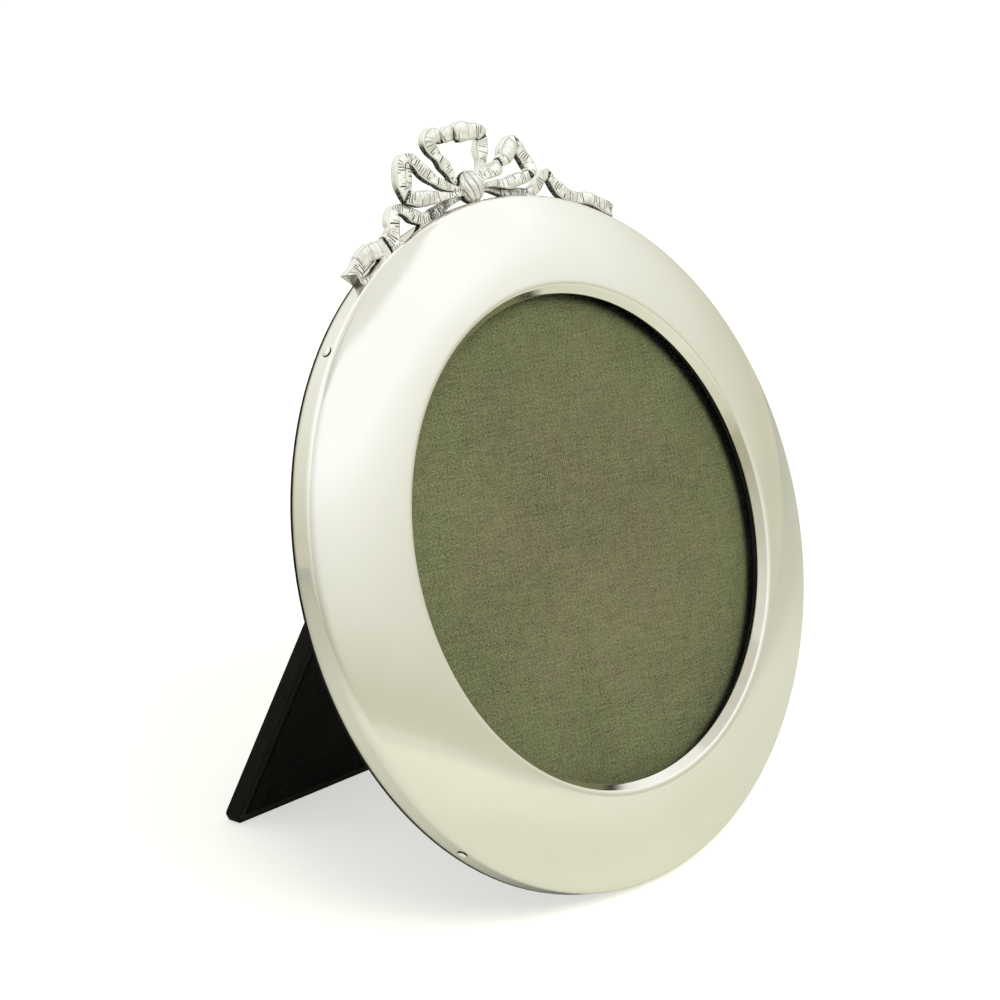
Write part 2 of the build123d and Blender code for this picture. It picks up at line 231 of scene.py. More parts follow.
class NodeBoard:
    """A node tree under construction, with short ways to add nodes and links."""

    NUMBER_RESULTS = ("DISTANCE", "DOT_PRODUCT", "LENGTH")

    def __init__(self, tree: bpy.types.NodeTree) -> None:
        """Work on an empty tree."""
        self.tree = tree

    def node(self, kind: str, settings: dict | None = None, **inputs: object) -> bpy.types.Node:
        """Add a node.

        Args:
            kind: Blender's name of the node.
            settings: Options of the node by name.
            **inputs: Input values or wires, with _ for a space in the input's name.

        Returns:
            The new node.
        """
        made = self.tree.nodes.new(kind)
        for key, value in (settings or {}).items():
            setattr(made, key, value)
        for key, value in inputs.items():
            name = key.replace("_", " ")
            self.feed(next(socket for socket in made.inputs if socket.name == name and socket.enabled), value)
        return made

    def out(self, kind: str, settings: dict | None = None, output: int | str = 0, **inputs: object) -> Wire:
        """Add a node as node does and return one of its outputs, the first if none is named."""
        return Wire(self, self.node(kind, settings, **inputs).outputs[output])

    def feed(self, socket: bpy.types.NodeSocket, value: object) -> None:
        """Give a socket a value or link an output to it."""
        source = value.socket if isinstance(value, Wire) else value
        if isinstance(source, bpy.types.NodeSocket):
            self.tree.links.new(source, socket)
        else:
            socket.default_value = source

    def math(self, operation: str, first: object, second: object = 0.0) -> Wire:
        """Add an operation on two numbers and return its result."""
        made = self.node("ShaderNodeMath", {"operation": operation})
        self.feed(made.inputs[0], first)
        self.feed(made.inputs[1], second)
        return Wire(self, made.outputs[0])

    def vector(self, operation: str, *values: object) -> Wire:
        """Add an operation on vectors, or on a vector and a scale, and return its result."""
        made = self.node("ShaderNodeVectorMath", {"operation": operation})
        sockets = (made.inputs[0], made.inputs["Scale"]) if operation == "SCALE" else made.inputs
        for socket, value in zip(sockets, values):
            self.feed(socket, value)
        return Wire(self, made.outputs["Value" if operation in self.NUMBER_RESULTS else "Vector"])

    def point(self, x: object = 0.0, y: object = 0.0, z: object = 0.0) -> Wire:
        """A vector of three numbers."""
        return self.out("ShaderNodeCombineXYZ", X=x, Y=y, Z=z)

    def axis(self, vector: object, index: int) -> Wire:
        """One of a vector's three numbers."""
        return self.out("ShaderNodeSeparateXYZ", output=index, Vector=vector)

    def ramp(self, value: object, low: object, high: object, start: float = 0.0, end: float = 1.0) -> Wire:
        """Ease a number from start to end while it runs from low to high."""
        return self.out("ShaderNodeMapRange", {"interpolation_type": "SMOOTHSTEP"},
                        Value=value, From_Min=low, From_Max=high, To_Min=start, To_Max=end)


class Shading(NodeBoard):
    """One material under construction."""

    def __init__(self, name: str) -> None:
        """Start an empty material with one main shader."""
        self.material = bpy.data.materials.new(name)
        self.material.use_nodes = True
        super().__init__(self.material.node_tree)
        self.tree.nodes.clear()
        self.shader = self.node("ShaderNodeBsdfPrincipled")
        self.node("ShaderNodeOutputMaterial", Surface=self.shader.outputs[0])
        self.place = self.out("ShaderNodeTexCoord", output="Object")

    def set(self, **inputs: object) -> None:
        """Set or link the main shader's inputs, with _ for a space."""
        for key, value in inputs.items():
            self.feed(self.shader.inputs[key.replace("_", " ")], value)

    def noise(self, scale: float, detail: float = 2.0, stretch: Triple | None = None,
              vector: object = None, distortion: float = 0.0, roughness: float = 0.5) -> Wire:
        """Add a noise pattern.

        Args:
            scale: Spots to the unit of the place where the pattern is read.
            detail: Finer octaves.
            stretch: Optional scale along each axis first.
            vector: Where the pattern is read, the piece's own place if left out.
            distortion: How far the pattern is stirred.
            roughness: How strong the finer octaves are.

        Returns:
            The pattern's value.
        """
        where = self.place if vector is None else vector
        if stretch:
            where = self.out("ShaderNodeMapping", Vector=where, Scale=stretch)
        return self.out("ShaderNodeTexNoise", Vector=where, Scale=scale, Detail=detail,
                        Distortion=distortion, Roughness=roughness)

    def blend(self, share: object, first: object, second: object) -> Wire:
        """Mix two colours by a share and return the mix."""
        made = self.node("ShaderNodeMix", {"data_type": "RGBA"}, Factor=share)
        for socket, value in ((made.inputs[6], first), (made.inputs[7], second)):
            self.feed(socket, (*value, 1.0) if isinstance(value, tuple) else value)
        return Wire(self, made.outputs[2])

    def bands(self, value: object, stops: tuple[tuple[float, Colour], ...]) -> Wire:
        """Colours along a number of 0 to 1, each at its place."""
        made = self.node("ShaderNodeValToRGB", Fac=value)
        elements = made.color_ramp.elements
        while len(elements) < len(stops):
            elements.new(0.5)
        for element, (place, colour) in zip(elements, stops):
            element.position = place
            element.color = (*colour, 1.0)
        return Wire(self, made.outputs[0])

    def attribute(self, name: str) -> Wire:
        """Read a number that the piece's mesh carries."""
        return self.out("ShaderNodeAttribute", {"attribute_name": name}, "Fac")

    def bump(self, height: object, distance: float, strength: float = 1.0, normal: object = None) -> Wire:
        """Raise the surface by a height of 0 to 1 times a distance in metres."""
        made = self.node("ShaderNodeBump", Height=height, Distance=distance, Strength=strength)
        if normal is not None:
            self.feed(made.inputs["Normal"], normal)
        return Wire(self, made.outputs[0])


@dataclass(frozen=True)
class PolishedSilver:
    """Old silver, spun and hand polished, with soft dents, warm clouds of tarnish and painted shade on the
    lip.
    """

    bright: Colour = (0.905, 0.900, 0.845)
    tarnished_and_shaded: Colour = (0.56, 0.53, 0.43)
    bloom_share: float = 0.10
    dent_depth: float = 0.00022
    hairline_depth: float = 0.0000012
    gloss: Span = (0.075, 0.125)

    def material(self) -> bpy.types.Material:
        """Build the finish."""
        look = Shading("polished_silver")
        cloudy = look.noise(22.0, 3.0)
        # The shell's mark holds tarnish at the rim's foot and painted shade on the lip, darkest on its right
        # side.
        edge = look.attribute("tarnish_and_lip_shade") * look.ramp(look.noise(160.0, 4.0), 0.35, 0.65, 0.9, 1.0)
        silver_darkening = look.ramp(cloudy, 0.4, 0.75) * self.bloom_share + edge
        look.set(Base_Color=look.blend(silver_darkening, self.bright, self.tarnished_and_shaded), Metallic=1.0)
        wiped = look.noise(240.0, 3.0, (1.0, 0.25, 1.0))
        look.set(Roughness=look.ramp(wiped, 0.3, 0.7, *self.gloss))
        dents = look.bump(look.noise(24.0, 1.0, (1.0, 1.0, 0.45), distortion=0.8), self.dent_depth)
        hairlines = look.noise(5200.0, 2.0, (1.0, 0.12, 1.0))
        look.set(Normal=look.bump(hairlines, self.hairline_depth, 0.6, dents))
        return look.material


@dataclass(frozen=True)
class EngravedSilver:
    """Frosted cast silver: a bright face, engraved strokes across it, black oxide in creases and painted
    shade where the bow turns from the light.
    """

    bright: Colour = (0.95, 0.945, 0.885)
    dark: Colour = (0.010, 0.009, 0.006)
    stroke_pitch: float = 0.70
    stroke_depth: float = 0.00012
    stroke_bend: float = 1.6
    stroke_line: Span = (0.14, 0.32)
    stroke_taper: float = 0.3
    stroke_shade: float = 0.95
    groove_shade: float = 0.42
    mottle: float = 1.7
    metal: Span = (0.72, 0.9)
    gloss: Span = (0.24, 0.55)
    grain_scale: float = 2600.0
    grain_depth: float = 0.00002

    def material(self) -> bpy.types.Material:
        """Build the finish; strokes come from either edge, each with its own length and strength."""
        look = Shading("engraved_silver")
        along = look.attribute("along")
        across = look.attribute("across")
        margin = abs(across)
        lane = look.point(along * 0.4, across * 0.5)
        count = along / self.stroke_pitch + look.noise(1.0, 1.0, vector=lane) * self.stroke_bend
        whole = look.math("FLOOR", count)
        chance = [look.out("ShaderNodeTexWhiteNoise", {"noise_dimensions": "1D"}, W=whole + step)
                  for step in (0.25, 0.5, 0.75)]
        line = look.ramp(abs(look.math("FRACT", count) - 0.5), *self.stroke_line, 1.0, 0.0)
        edge = across * look.math("SIGN", chance[0] - 0.5)
        start = chance[1] * 1.4 - 1.25
        stroke = line * look.ramp(edge - start, 0.0, self.stroke_taper)
        stroke = stroke * look.ramp(chance[2], 0.05, 0.75, 0.15, 0.95)
        cluster = look.point(along * 0.3, 7.3)
        stroke = stroke * look.ramp(look.noise(1.0, 1.0, vector=cluster), 0.36, 0.54, 0.6, 1.0)
        stroke = stroke * look.ramp(look.attribute("puff"), 0.35, 0.8, 1.0, 0.3)
        stroke = stroke * look.ramp(margin, 0.80, 0.90, 1.0, 0.0)
        groove = look.ramp(margin, 0.78, 0.84) * look.ramp(margin, 0.86, 0.92, self.groove_shade, 0.0)
        cut = look.math("MAXIMUM", stroke * self.stroke_shade, groove)
        # The mark holds oxide in creases and at pin feet and painted shade on faces turned down, back or
        # under other ribbons.
        deep = look.attribute("oxide_and_painted_shade")
        mottle = (look.noise(self.grain_scale, 3.0) - 0.5) * self.mottle
        oxide_and_painted_shade = look.ramp(deep + mottle * look.ramp(deep, 0.05, 0.3), 0.05, 0.85)
        shade = look.math("MAXIMUM", cut, oxide_and_painted_shade)
        look.set(Base_Color=look.blend(shade, self.bright, self.dark))
        look.set(Metallic=look.ramp(shade, 0.0, 1.0, *self.metal))
        look.set(Roughness=look.ramp(shade, 0.0, 1.0, *self.gloss), Specular_IOR_Level=0.3)
        grain = look.bump(look.noise(self.grain_scale, 3.0), self.grain_depth, 0.7)
        look.set(Normal=look.bump(1.0 - cut, self.stroke_depth, 0.8, grain))
        return look.material


@dataclass(frozen=True)
class WovenCloth:
    """Plain woven silk cloth, grey green, faded unevenly, with painted shadow of the lip round its edge,
    darkest on the right.
    """

    green: Colour = (0.168, 0.182, 0.080)
    brown: Colour = (0.186, 0.176, 0.088)
    threads_per_mm: tuple[Span, Span] = ((1.290, -0.223), (0.113, 1.753))
    weave_depth: float = 0.00010
    lip_shadow_radius: float = 63.7
    fade_and_lip_shadow_middle: Span = (2.5, 2.3)
    lip_shadow_edge: Span = (-2.0, 0.6)
    lip_shadow_strength: Span = (0.65, 0.98)
    ground_level: float = 0.62
    thread_level: float = 0.5
    least_level: float = 0.15
    slub_weight: float = 1.05
    speck_weight: float = 1.9
    fade_weight: float = 0.5

    def material(self) -> bpy.types.Material:
        """Build the finish; the cloth's map is in millimetres."""
        look = Shading("woven_cloth")
        cloth = look.out("ShaderNodeUVMap", {"uv_map": "cloth"})
        stir = look.out("ShaderNodeTexNoise", output=1, Vector=cloth, Scale=0.35, Detail=2.0)
        swing = look.vector("MULTIPLY_ADD", stir, (0.25, 0.25, 0.0), cloth)
        counts = [look.vector("DOT_PRODUCT", swing, (*across, 0.0)) for across in self.threads_per_mm]
        warp, weft = [abs(look.math("SINE", count * math.pi)) for count in counts]
        whole = [look.math("FLOOR", count) for count in counts]
        over = look.math("PINGPONG", whole[0] + whole[1], 1.0)
        top = warp * over + weft * (1.0 - over)
        height = top * look.ramp(warp * weft, 0.0, 0.5, 0.45, 1.0)
        slub = []
        for axis, count in enumerate(whole):
            lane = look.point(count * 7.31, counts[1 - axis] * 0.11, 3.7 * axis)
            slub.append(look.noise(1.0, 2.0, vector=lane))
        uneven = slub[0] * (1.0 - over) + slub[1] * over
        speck = look.noise(1.9, 3.0, vector=cloth)
        faded = look.noise(0.022, 2.0, vector=cloth)
        tint = look.noise(0.06, 7.0, vector=cloth, roughness=0.75)
        reach = look.vector("DISTANCE", cloth, (*self.fade_and_lip_shadow_middle, 0.0))
        browned = look.ramp(tint + look.ramp(reach, 25.0, 62.0, 0.07, -0.13), 0.36, 0.64)
        level = self.ground_level + height * self.thread_level
        for pattern, weight in (
                (uneven, self.slub_weight), (speck, self.speck_weight), (faded, self.fade_weight)):
            level = level + (pattern - 0.5) * weight
        level = look.math("MAXIMUM", level, self.least_level)
        # Painted shadow of the lip round the cloth's edge, from about two thirds strength on the left to full
        # on the right.
        lip_shadow_mask = look.ramp(reach, *(self.lip_shadow_radius + edge for edge in self.lip_shadow_edge))
        outside_lip_shadow = 1.0 - lip_shadow_mask * look.ramp(look.axis(cloth, 0), 5.0, 35.0, *self.lip_shadow_strength)
        look.set(Base_Color=look.vector("SCALE", look.blend(browned, self.green, self.brown), level * outside_lip_shadow))
        look.set(Roughness=0.85, Specular_IOR_Level=0.12, Sheen_Weight=outside_lip_shadow * 0.05, Sheen_Roughness=0.45)
        look.set(Normal=look.bump(height, self.weave_depth, 0.8))
        return look.material


@dataclass(frozen=True)
class Leathercloth:
    """Black leathercloth with a fine pebbled grain."""

    deep: Colour = (0.0030, 0.0026, 0.0022)
    worn: Colour = (0.016, 0.014, 0.012)
    pebbles: float = 1500.0
    grain_depth: float = 0.00020
    gloss: Span = (0.42, 0.62)

    def material(self) -> bpy.types.Material:
        """Build the finish."""
        look = Shading("black_leathercloth")
        cells = look.out("ShaderNodeTexVoronoi", {"feature": "SMOOTH_F1"}, Vector=look.place,
                         Scale=self.pebbles, Smoothness=0.7)
        wrinkles = look.noise(700.0, 4.0, distortion=0.8)
        grain = cells * 0.6 + wrinkles * 0.5
        rub = look.ramp(look.noise(45.0, 4.0), 0.5, 0.75) * look.ramp(grain, 0.35, 0.7)
        look.set(Base_Color=look.blend(rub, self.deep, self.worn))
        look.set(Roughness=look.ramp(wrinkles, 0.3, 0.7, *self.gloss), Specular_IOR_Level=0.12)
        look.set(Normal=look.bump(grain, self.grain_depth, 0.9))
        return look.material


@dataclass(frozen=True)
class ClearGlass:
    """Thin clear picture glass with a faint film of dust."""

    veil: float = 0.004

    def material(self) -> bpy.types.Material:
        """Build the finish."""
        look = Shading("clear_glass")
        dust = look.ramp(look.noise(60.0, 5.0), 0.45, 0.8, self.veil, 2.0 * self.veil)
        look.set(Base_Color=(0.93, 0.96, 0.94, 1.0), Roughness=0.04, IOR=1.5, Alpha=dust)
        return look.material


class WoodTone(Enum):
    """Tones of the wood, darker and lighter grain."""

    BLACKENED = ((0.003, 0.0026, 0.0022), (0.010, 0.008, 0.006))
    PLAIN = ((0.21, 0.115, 0.052), (0.36, 0.225, 0.115))


@dataclass(frozen=True)
class GrainedWood:
    """Sawn wood with long grain and pores."""

    tone: WoodTone
    pore_depth: float = 0.0001
    gloss: Span = (0.55, 0.75)

    def material(self) -> bpy.types.Material:
        """Build the finish."""
        look = Shading(f"wood_{self.tone.name.lower()}")
        grain = look.noise(46.0, 5.0, (0.25, 6.0, 6.0), distortion=1.2)
        pores = look.ramp(look.noise(420.0, 2.0, (0.06, 3.0, 3.0)), 0.55, 0.7)
        early, late = self.tone.value
        colour = look.blend(look.ramp(grain, 0.3, 0.7), late, early)
        look.set(Base_Color=look.blend(pores * 0.5, colour, early))
        look.set(Roughness=look.ramp(grain, 0.3, 0.7, *self.gloss))
        look.set(Normal=look.bump(pores, self.pore_depth, -0.5))
        return look.material


@dataclass(frozen=True)
class GreyCard:
    """Pressed grey-brown card with visible fibres."""

    pale: Colour = (0.33, 0.275, 0.20)
    fleck: Colour = (0.18, 0.14, 0.10)
    fibre_depth: float = 0.00008

    def material(self) -> bpy.types.Material:
        """Build the finish."""
        look = Shading("grey_card")
        fibre = look.noise(900.0, 5.0, (1.0, 0.3, 0.5), distortion=1.5)
        look.set(Base_Color=look.blend(look.ramp(fibre, 0.5, 0.72), self.pale, self.fleck), Roughness=0.9)
        look.set(Normal=look.bump(fibre, self.fibre_depth, 0.5))
        return look.material


@dataclass(frozen=True)
class LacqueredBrass:
    """Brass with browned lacquer and fine wear."""

    bright: Colour = (0.78, 0.56, 0.24)
    browned: Colour = (0.33, 0.205, 0.085)
    scratch_depth: float = 0.00001
    gloss: Span = (0.22, 0.48)

    def material(self) -> bpy.types.Material:
        """Build the finish."""
        look = Shading("lacquered_brass")
        patina = look.ramp(look.noise(140.0, 5.0, distortion=0.5), 0.42, 0.68)
        scratch = look.noise(1800.0, 2.0, (1.0, 0.1, 1.0))
        look.set(Base_Color=look.blend(patina, self.bright, self.browned), Metallic=1.0)
        look.set(Roughness=look.ramp(patina + scratch, 0.3, 1.4, *self.gloss))
        look.set(Normal=look.bump(scratch, self.scratch_depth, 0.5))
        return look.material


class Finishes:
    """All finishes of the part, each built once."""

    def __init__(self) -> None:
        """Build every material."""
        self.silver = PolishedSilver().material()
        self.engraved = EngravedSilver().material()
        self.cloth = WovenCloth().material()
        self.leathercloth = Leathercloth().material()
        self.glass = ClearGlass().material()
        self.black_wood = GrainedWood(WoodTone.BLACKENED).material()
        self.plain_wood = GrainedWood(WoodTone.PLAIN).material()
        self.card = GreyCard().material()
        self.brass = LacqueredBrass().material()


def dress(piece: bpy.types.Object, material: bpy.types.Material) -> None:
    """Give a piece one finish all over."""
    piece.data.materials.clear()
    piece.data.materials.append(material)


def seat(piece: bpy.types.Object, body: Body, slot: str, *nodes: str) -> None:
    """Let a new piece ride on a body and stand for solids.

    Args:
        piece: The finished piece.
        body: The body that carries it.
        slot: The record's material slot that it belongs to; not used.
        *nodes: The solids that it replaces.
    """
    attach(piece, body.value)
    if nodes:
        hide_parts(*nodes)
    log.info("%s: %d faces, replaces %s", piece.name, len(piece.data.polygons), ", ".join(nodes) or "nothing")


class NodeWork(NodeBoard):
    """A geometry node tree under construction, with named inputs for its sizes."""

    def __init__(self, name: str) -> None:
        """Start an empty tree with a geometry input and output."""
        super().__init__(bpy.data.node_groups.new(name, "GeometryNodeTree"))
        for way in ("INPUT", "OUTPUT"):
            self.tree.interface.new_socket("Geometry", in_out=way, socket_type="NodeSocketGeometry")
        self.start = self.node("NodeGroupInput")
        self.end = self.node("NodeGroupOutput")

    def sizes(self, **values: float) -> list[Wire]:
        """Add named number inputs, with _ for a space, and return their outputs in the tree."""
        names = [key.replace("_", " ") for key in values]
        for name, value in zip(names, values.values()):
            kind = "NodeSocketInt" if isinstance(value, int) else "NodeSocketFloat"
            self.tree.interface.new_socket(name, in_out="INPUT", socket_type=kind).default_value = value
        return [Wire(self, self.start.outputs[name]) for name in names]

    @property
    def source(self) -> Wire:
        """The geometry that the tree starts from."""
        return Wire(self, self.start.outputs["Geometry"])

    def keep(self, geometry: Wire, name: str, value: object, kind: str = "FLOAT") -> Wire:
        """Store a value on every point under a name and return the geometry."""
        return self.out("GeometryNodeStoreNamedAttribute", {"data_type": kind, "domain": "POINT"},
                        Geometry=geometry, Name=name, Value=value)

    def read(self, name: str, kind: str = "FLOAT") -> Wire:
        """Read a stored value."""
        return self.out("GeometryNodeInputNamedAttribute", {"data_type": kind}, Name=name)

    def dome(self, segments: int, radius: Wire, rise: Wire) -> Wire:
        """A flattened ball, the form of a small round head."""
        ball = self.out("GeometryNodeMeshUVSphere", Segments=segments, Rings=segments // 2, Radius=1.0)
        return self.out("GeometryNodeTransform", Geometry=ball, Scale=self.point(radius, radius, rise))

    def close(self, geometry: Wire, material: bpy.types.Material) -> None:
        """End the tree: make instances real, set the material and hand the geometry out."""
        real = self.out("GeometryNodeRealizeInstances", Geometry=geometry)
        smooth = self.out("GeometryNodeSetShadeSmooth", Geometry=real)
        dressed = self.out("GeometryNodeSetMaterial", Geometry=smooth, Material=material)
        self.feed(self.end.inputs["Geometry"], dressed)

    def piece(self, name: str, source: bpy.types.Mesh, **sizes: float) -> bpy.types.Object:
        """Run the tree on a mesh and put the result in the scene as a plain mesh, stood up.

        Args:
            name: Name of the new piece.
            source: The mesh that the tree starts from, on the bench.
            **sizes: Values of named inputs, with _ for a space in the input's name.

        Returns:
            The finished piece.
        """
        host = link_piece(f"{name}_host", source)
        run = host.modifiers.new("run", "NODES")
        run.node_group = self.tree
        values = {key.replace("_", " "): value for key, value in sizes.items()}
        for item in self.tree.interface.items_tree:
            if item.item_type == "SOCKET" and item.in_out == "INPUT" and item.name in values:
                run[item.identifier] = values[item.name]
        graph = bpy.context.evaluated_depsgraph_get()
        made = bpy.data.meshes.new_from_object(host.evaluated_get(graph))
        made.name = name
        bpy.data.objects.remove(host)
        made.transform(STAND)
        return link_piece(name, made)


@dataclass
class SilverFront:
    """The spun silver front: rim band, bulged face, crest and lip, in bench millimetres."""

    ring_radius: float = 89.0
    gauge: float = 0.6
    rim_bottom: float = 0.9
    rim_top: float = 6.9
    rim_rounding: float = 1.4
    crest_radius: float = 64.4
    crest_height: float = 16.05
    crest_rounding: float = 0.65
    face_bulge: float = 1.5
    sight_radius: float = 62.25
    sight_height: float = 13.9
    sight_rounding: float = 0.4
    segments: int = 360
    face_steps: int = 44
    inner_steps: int = 14
    flat_steps: int = 10
    edge_steps: int = 10
    crest_steps: int = 12
    tarnish_and_shade_edge: float = 0.3
    foot_reach: float = 1.2
    foot_tarnish: float = 0.5
    lip_bearing: float = -12.0
    lip_spread: Span = (50.0, 80.0)
    lip_base: float = 0.25
    lip_painted_shade: float = 0.68

    def face_arc(self, steps: int) -> np.ndarray:
        """Points of the bulged face from the rim's edge to the crest."""
        start = np.array((self.ring_radius, self.rim_top))
        end = np.array((self.crest_radius, self.crest_height))
        chord = np.linalg.norm(end - start)
        radius = (chord**2 / 4 + self.face_bulge**2) / (2 * self.face_bulge)
        along = (end - start) / chord
        out = np.array((along[1], -along[0]))
        middle = (start + end) / 2 + out * (self.face_bulge - radius)
        half = math.asin(chord / 2 / radius)
        turns = np.linspace(-half, half, steps + 1)[:, None]
        return middle + radius * (np.cos(turns) * out + np.sin(turns) * along)

    def outline(self) -> np.ndarray:
        """The outer surface from the rim's foot over the crest to the rolled sight edge."""
        face = self.face_arc(self.face_steps)
        edge, crest = face[0], face[-1]
        sight = np.array((self.sight_radius, self.sight_height))
        up = edge - np.array((0.0, self.rim_rounding))
        away = np.linalg.norm(face - edge, axis=1)
        left = np.linalg.norm(face - crest, axis=1)
        arc = face[(away > self.rim_rounding) & (left > self.crest_rounding)]
        inward = (sight - crest) / np.linalg.norm(sight - crest)
        raised = np.array((inward[1], -inward[0]))
        rim = np.linspace((self.ring_radius, self.rim_bottom), up, self.flat_steps)[:-1]
        lip = crest + inward * self.crest_rounding
        slope = np.linspace(lip, sight, self.flat_steps)[1:]
        turns = np.radians(np.linspace(10.0, 45.0, 5))[:, None]
        roll = sight + self.sight_rounding * (np.sin(turns) * inward + (np.cos(turns) - 1.0) * raised)
        return np.vstack((rim, rounded_corner(up, edge, arc[0], self.edge_steps), arc[1:-1],
                          rounded_corner(arc[-1], crest, lip, self.crest_steps), slope, roll))

    def inside(self) -> np.ndarray:
        """The shell's inner surface from the rim's foot to the sight edge."""
        foot, sight = (self.ring_radius, self.rim_bottom), (self.sight_radius, self.sight_height)
        base = np.vstack((foot, self.face_arc(self.inner_steps), sight))
        slope = np.gradient(base, axis=0)
        slope /= np.linalg.norm(slope, axis=1)[:, None]
        return base - self.gauge * np.column_stack((slope[:, 1], -slope[:, 0]))

    def tarnish_and_lip_shade(self, place: Vector) -> float:
        """How dark the silver is at a bench place, from 0 to 1: tarnish at the rim's foot and painted shade
        on the lip.
        """
        radius = math.hypot(place.x, place.y)
        on_rim = radius > self.ring_radius - self.tarnish_and_shade_edge
        foot = max(0.0, 1.0 - (place.z - self.rim_bottom) / self.foot_reach) if on_rim else 0.0
        # Painted shade on the lip: darkest round lip_bearing, on the lip's right side, with lip_base all
        # round the lip.
        away = math.degrees(math.atan2(place.y, place.x)) - self.lip_bearing
        spread = self.lip_spread[0] if away > 0.0 else self.lip_spread[1]
        lip = self.lip_base + max(0.0, 1.0 - (away / spread) ** 2)
        inset = min(1.0, max(0.0, (self.crest_radius - self.tarnish_and_shade_edge - radius) / self.tarnish_and_shade_edge))
        return min(1.0, self.foot_tarnish * foot + self.lip_painted_shade * lip * inset)

    def build(self, finishes: Finishes) -> bpy.types.Object:
        """Spin the shell, mark where tarnish and painted lip shade darken it and put it on the frame."""
        profile = np.vstack((self.outline(), self.inside()[::-1]))
        mesh = spun("silver_front_shell", profile, self.segments, closed=True)
        bench = STAND.inverted()
        mark(mesh, "tarnish_and_lip_shade", [self.tarnish_and_lip_shade(bench @ vertex.co) for vertex in mesh.vertices])
        piece = link_piece("silver_front_shell", mesh)
        dress(piece, finishes.silver)
        seat(piece, Body.FRAME, "silver", "silver_front")
        return piece


@dataclass
class RimPins:
    """Round-headed pins through the rim band, in bench millimetres."""

    count: int = 4
    start_degrees: float = 45.0
    ring_radius: float = 89.0
    height: float = 4.05
    head_radius: float = 1.4
    head_height: float = 0.66

    def tree(self, material: bpy.types.Material) -> NodeWork:
        """The node tree that sets one domed head on each point of a ring."""
        work = NodeWork("rim_pins")
        number, ring, height, radius, rise, start = work.sizes(
            Pins=self.count, Ring_radius=self.ring_radius, Height=self.height, Head_radius=self.head_radius,
            Head_height=self.head_height, Start=math.radians(self.start_degrees))
        points = work.out("GeometryNodeMeshCircle", Vertices=number, Radius=ring)
        placed = work.out("GeometryNodeTransform", Geometry=points, Translation=work.point(z=height),
                          Rotation=work.point(z=start))
        outward = work.vector("MULTIPLY", work.out("GeometryNodeInputPosition"), (1.0, 1.0, 0.0))
        aim = work.out("FunctionNodeAlignRotationToVector", {"axis": "Z"}, Vector=outward)
        heads = work.out("GeometryNodeInstanceOnPoints", Points=placed, Instance=work.dome(32, radius, rise),
                         Rotation=aim)
        real = work.out("GeometryNodeRealizeInstances", Geometry=heads)
        proud = work.vector("LENGTH", outward) - ring
        dull = 1.0 - work.ramp(proud, rise * 0.2, rise * 0.6)
        work.close(work.keep(work.keep(real, "oxide_and_painted_shade", dull), "puff", 1.0), material)
        return work

    def build(self, finishes: Finishes) -> bpy.types.Object:
        """Make the pins and put them on the frame."""
        piece = self.tree(finishes.engraved).piece("rim_pin_heads", bpy.data.meshes.new("seed"))
        seat(piece, Body.FRAME, "silver", "rim_pins")
        return piece


Station = tuple[float, float, float, float, float, float]


@dataclass(frozen=True)
class RibbonRoute:
    """One ribbon of the bow, the solid that it stands for and its ways, in bench millimetres.

    A station of a way is its place across, its height above the rim's top, its place in front of the ribbon's
    depth, the ribbon's width there, the puff of its face and its gloom from 0 to 1, which deepens and darkens
    creases and paints shadow on stretches under other ribbons.
    """

    node: str
    depth: float
    ways: tuple[tuple[Station, ...], ...]
    has_tail: bool = False


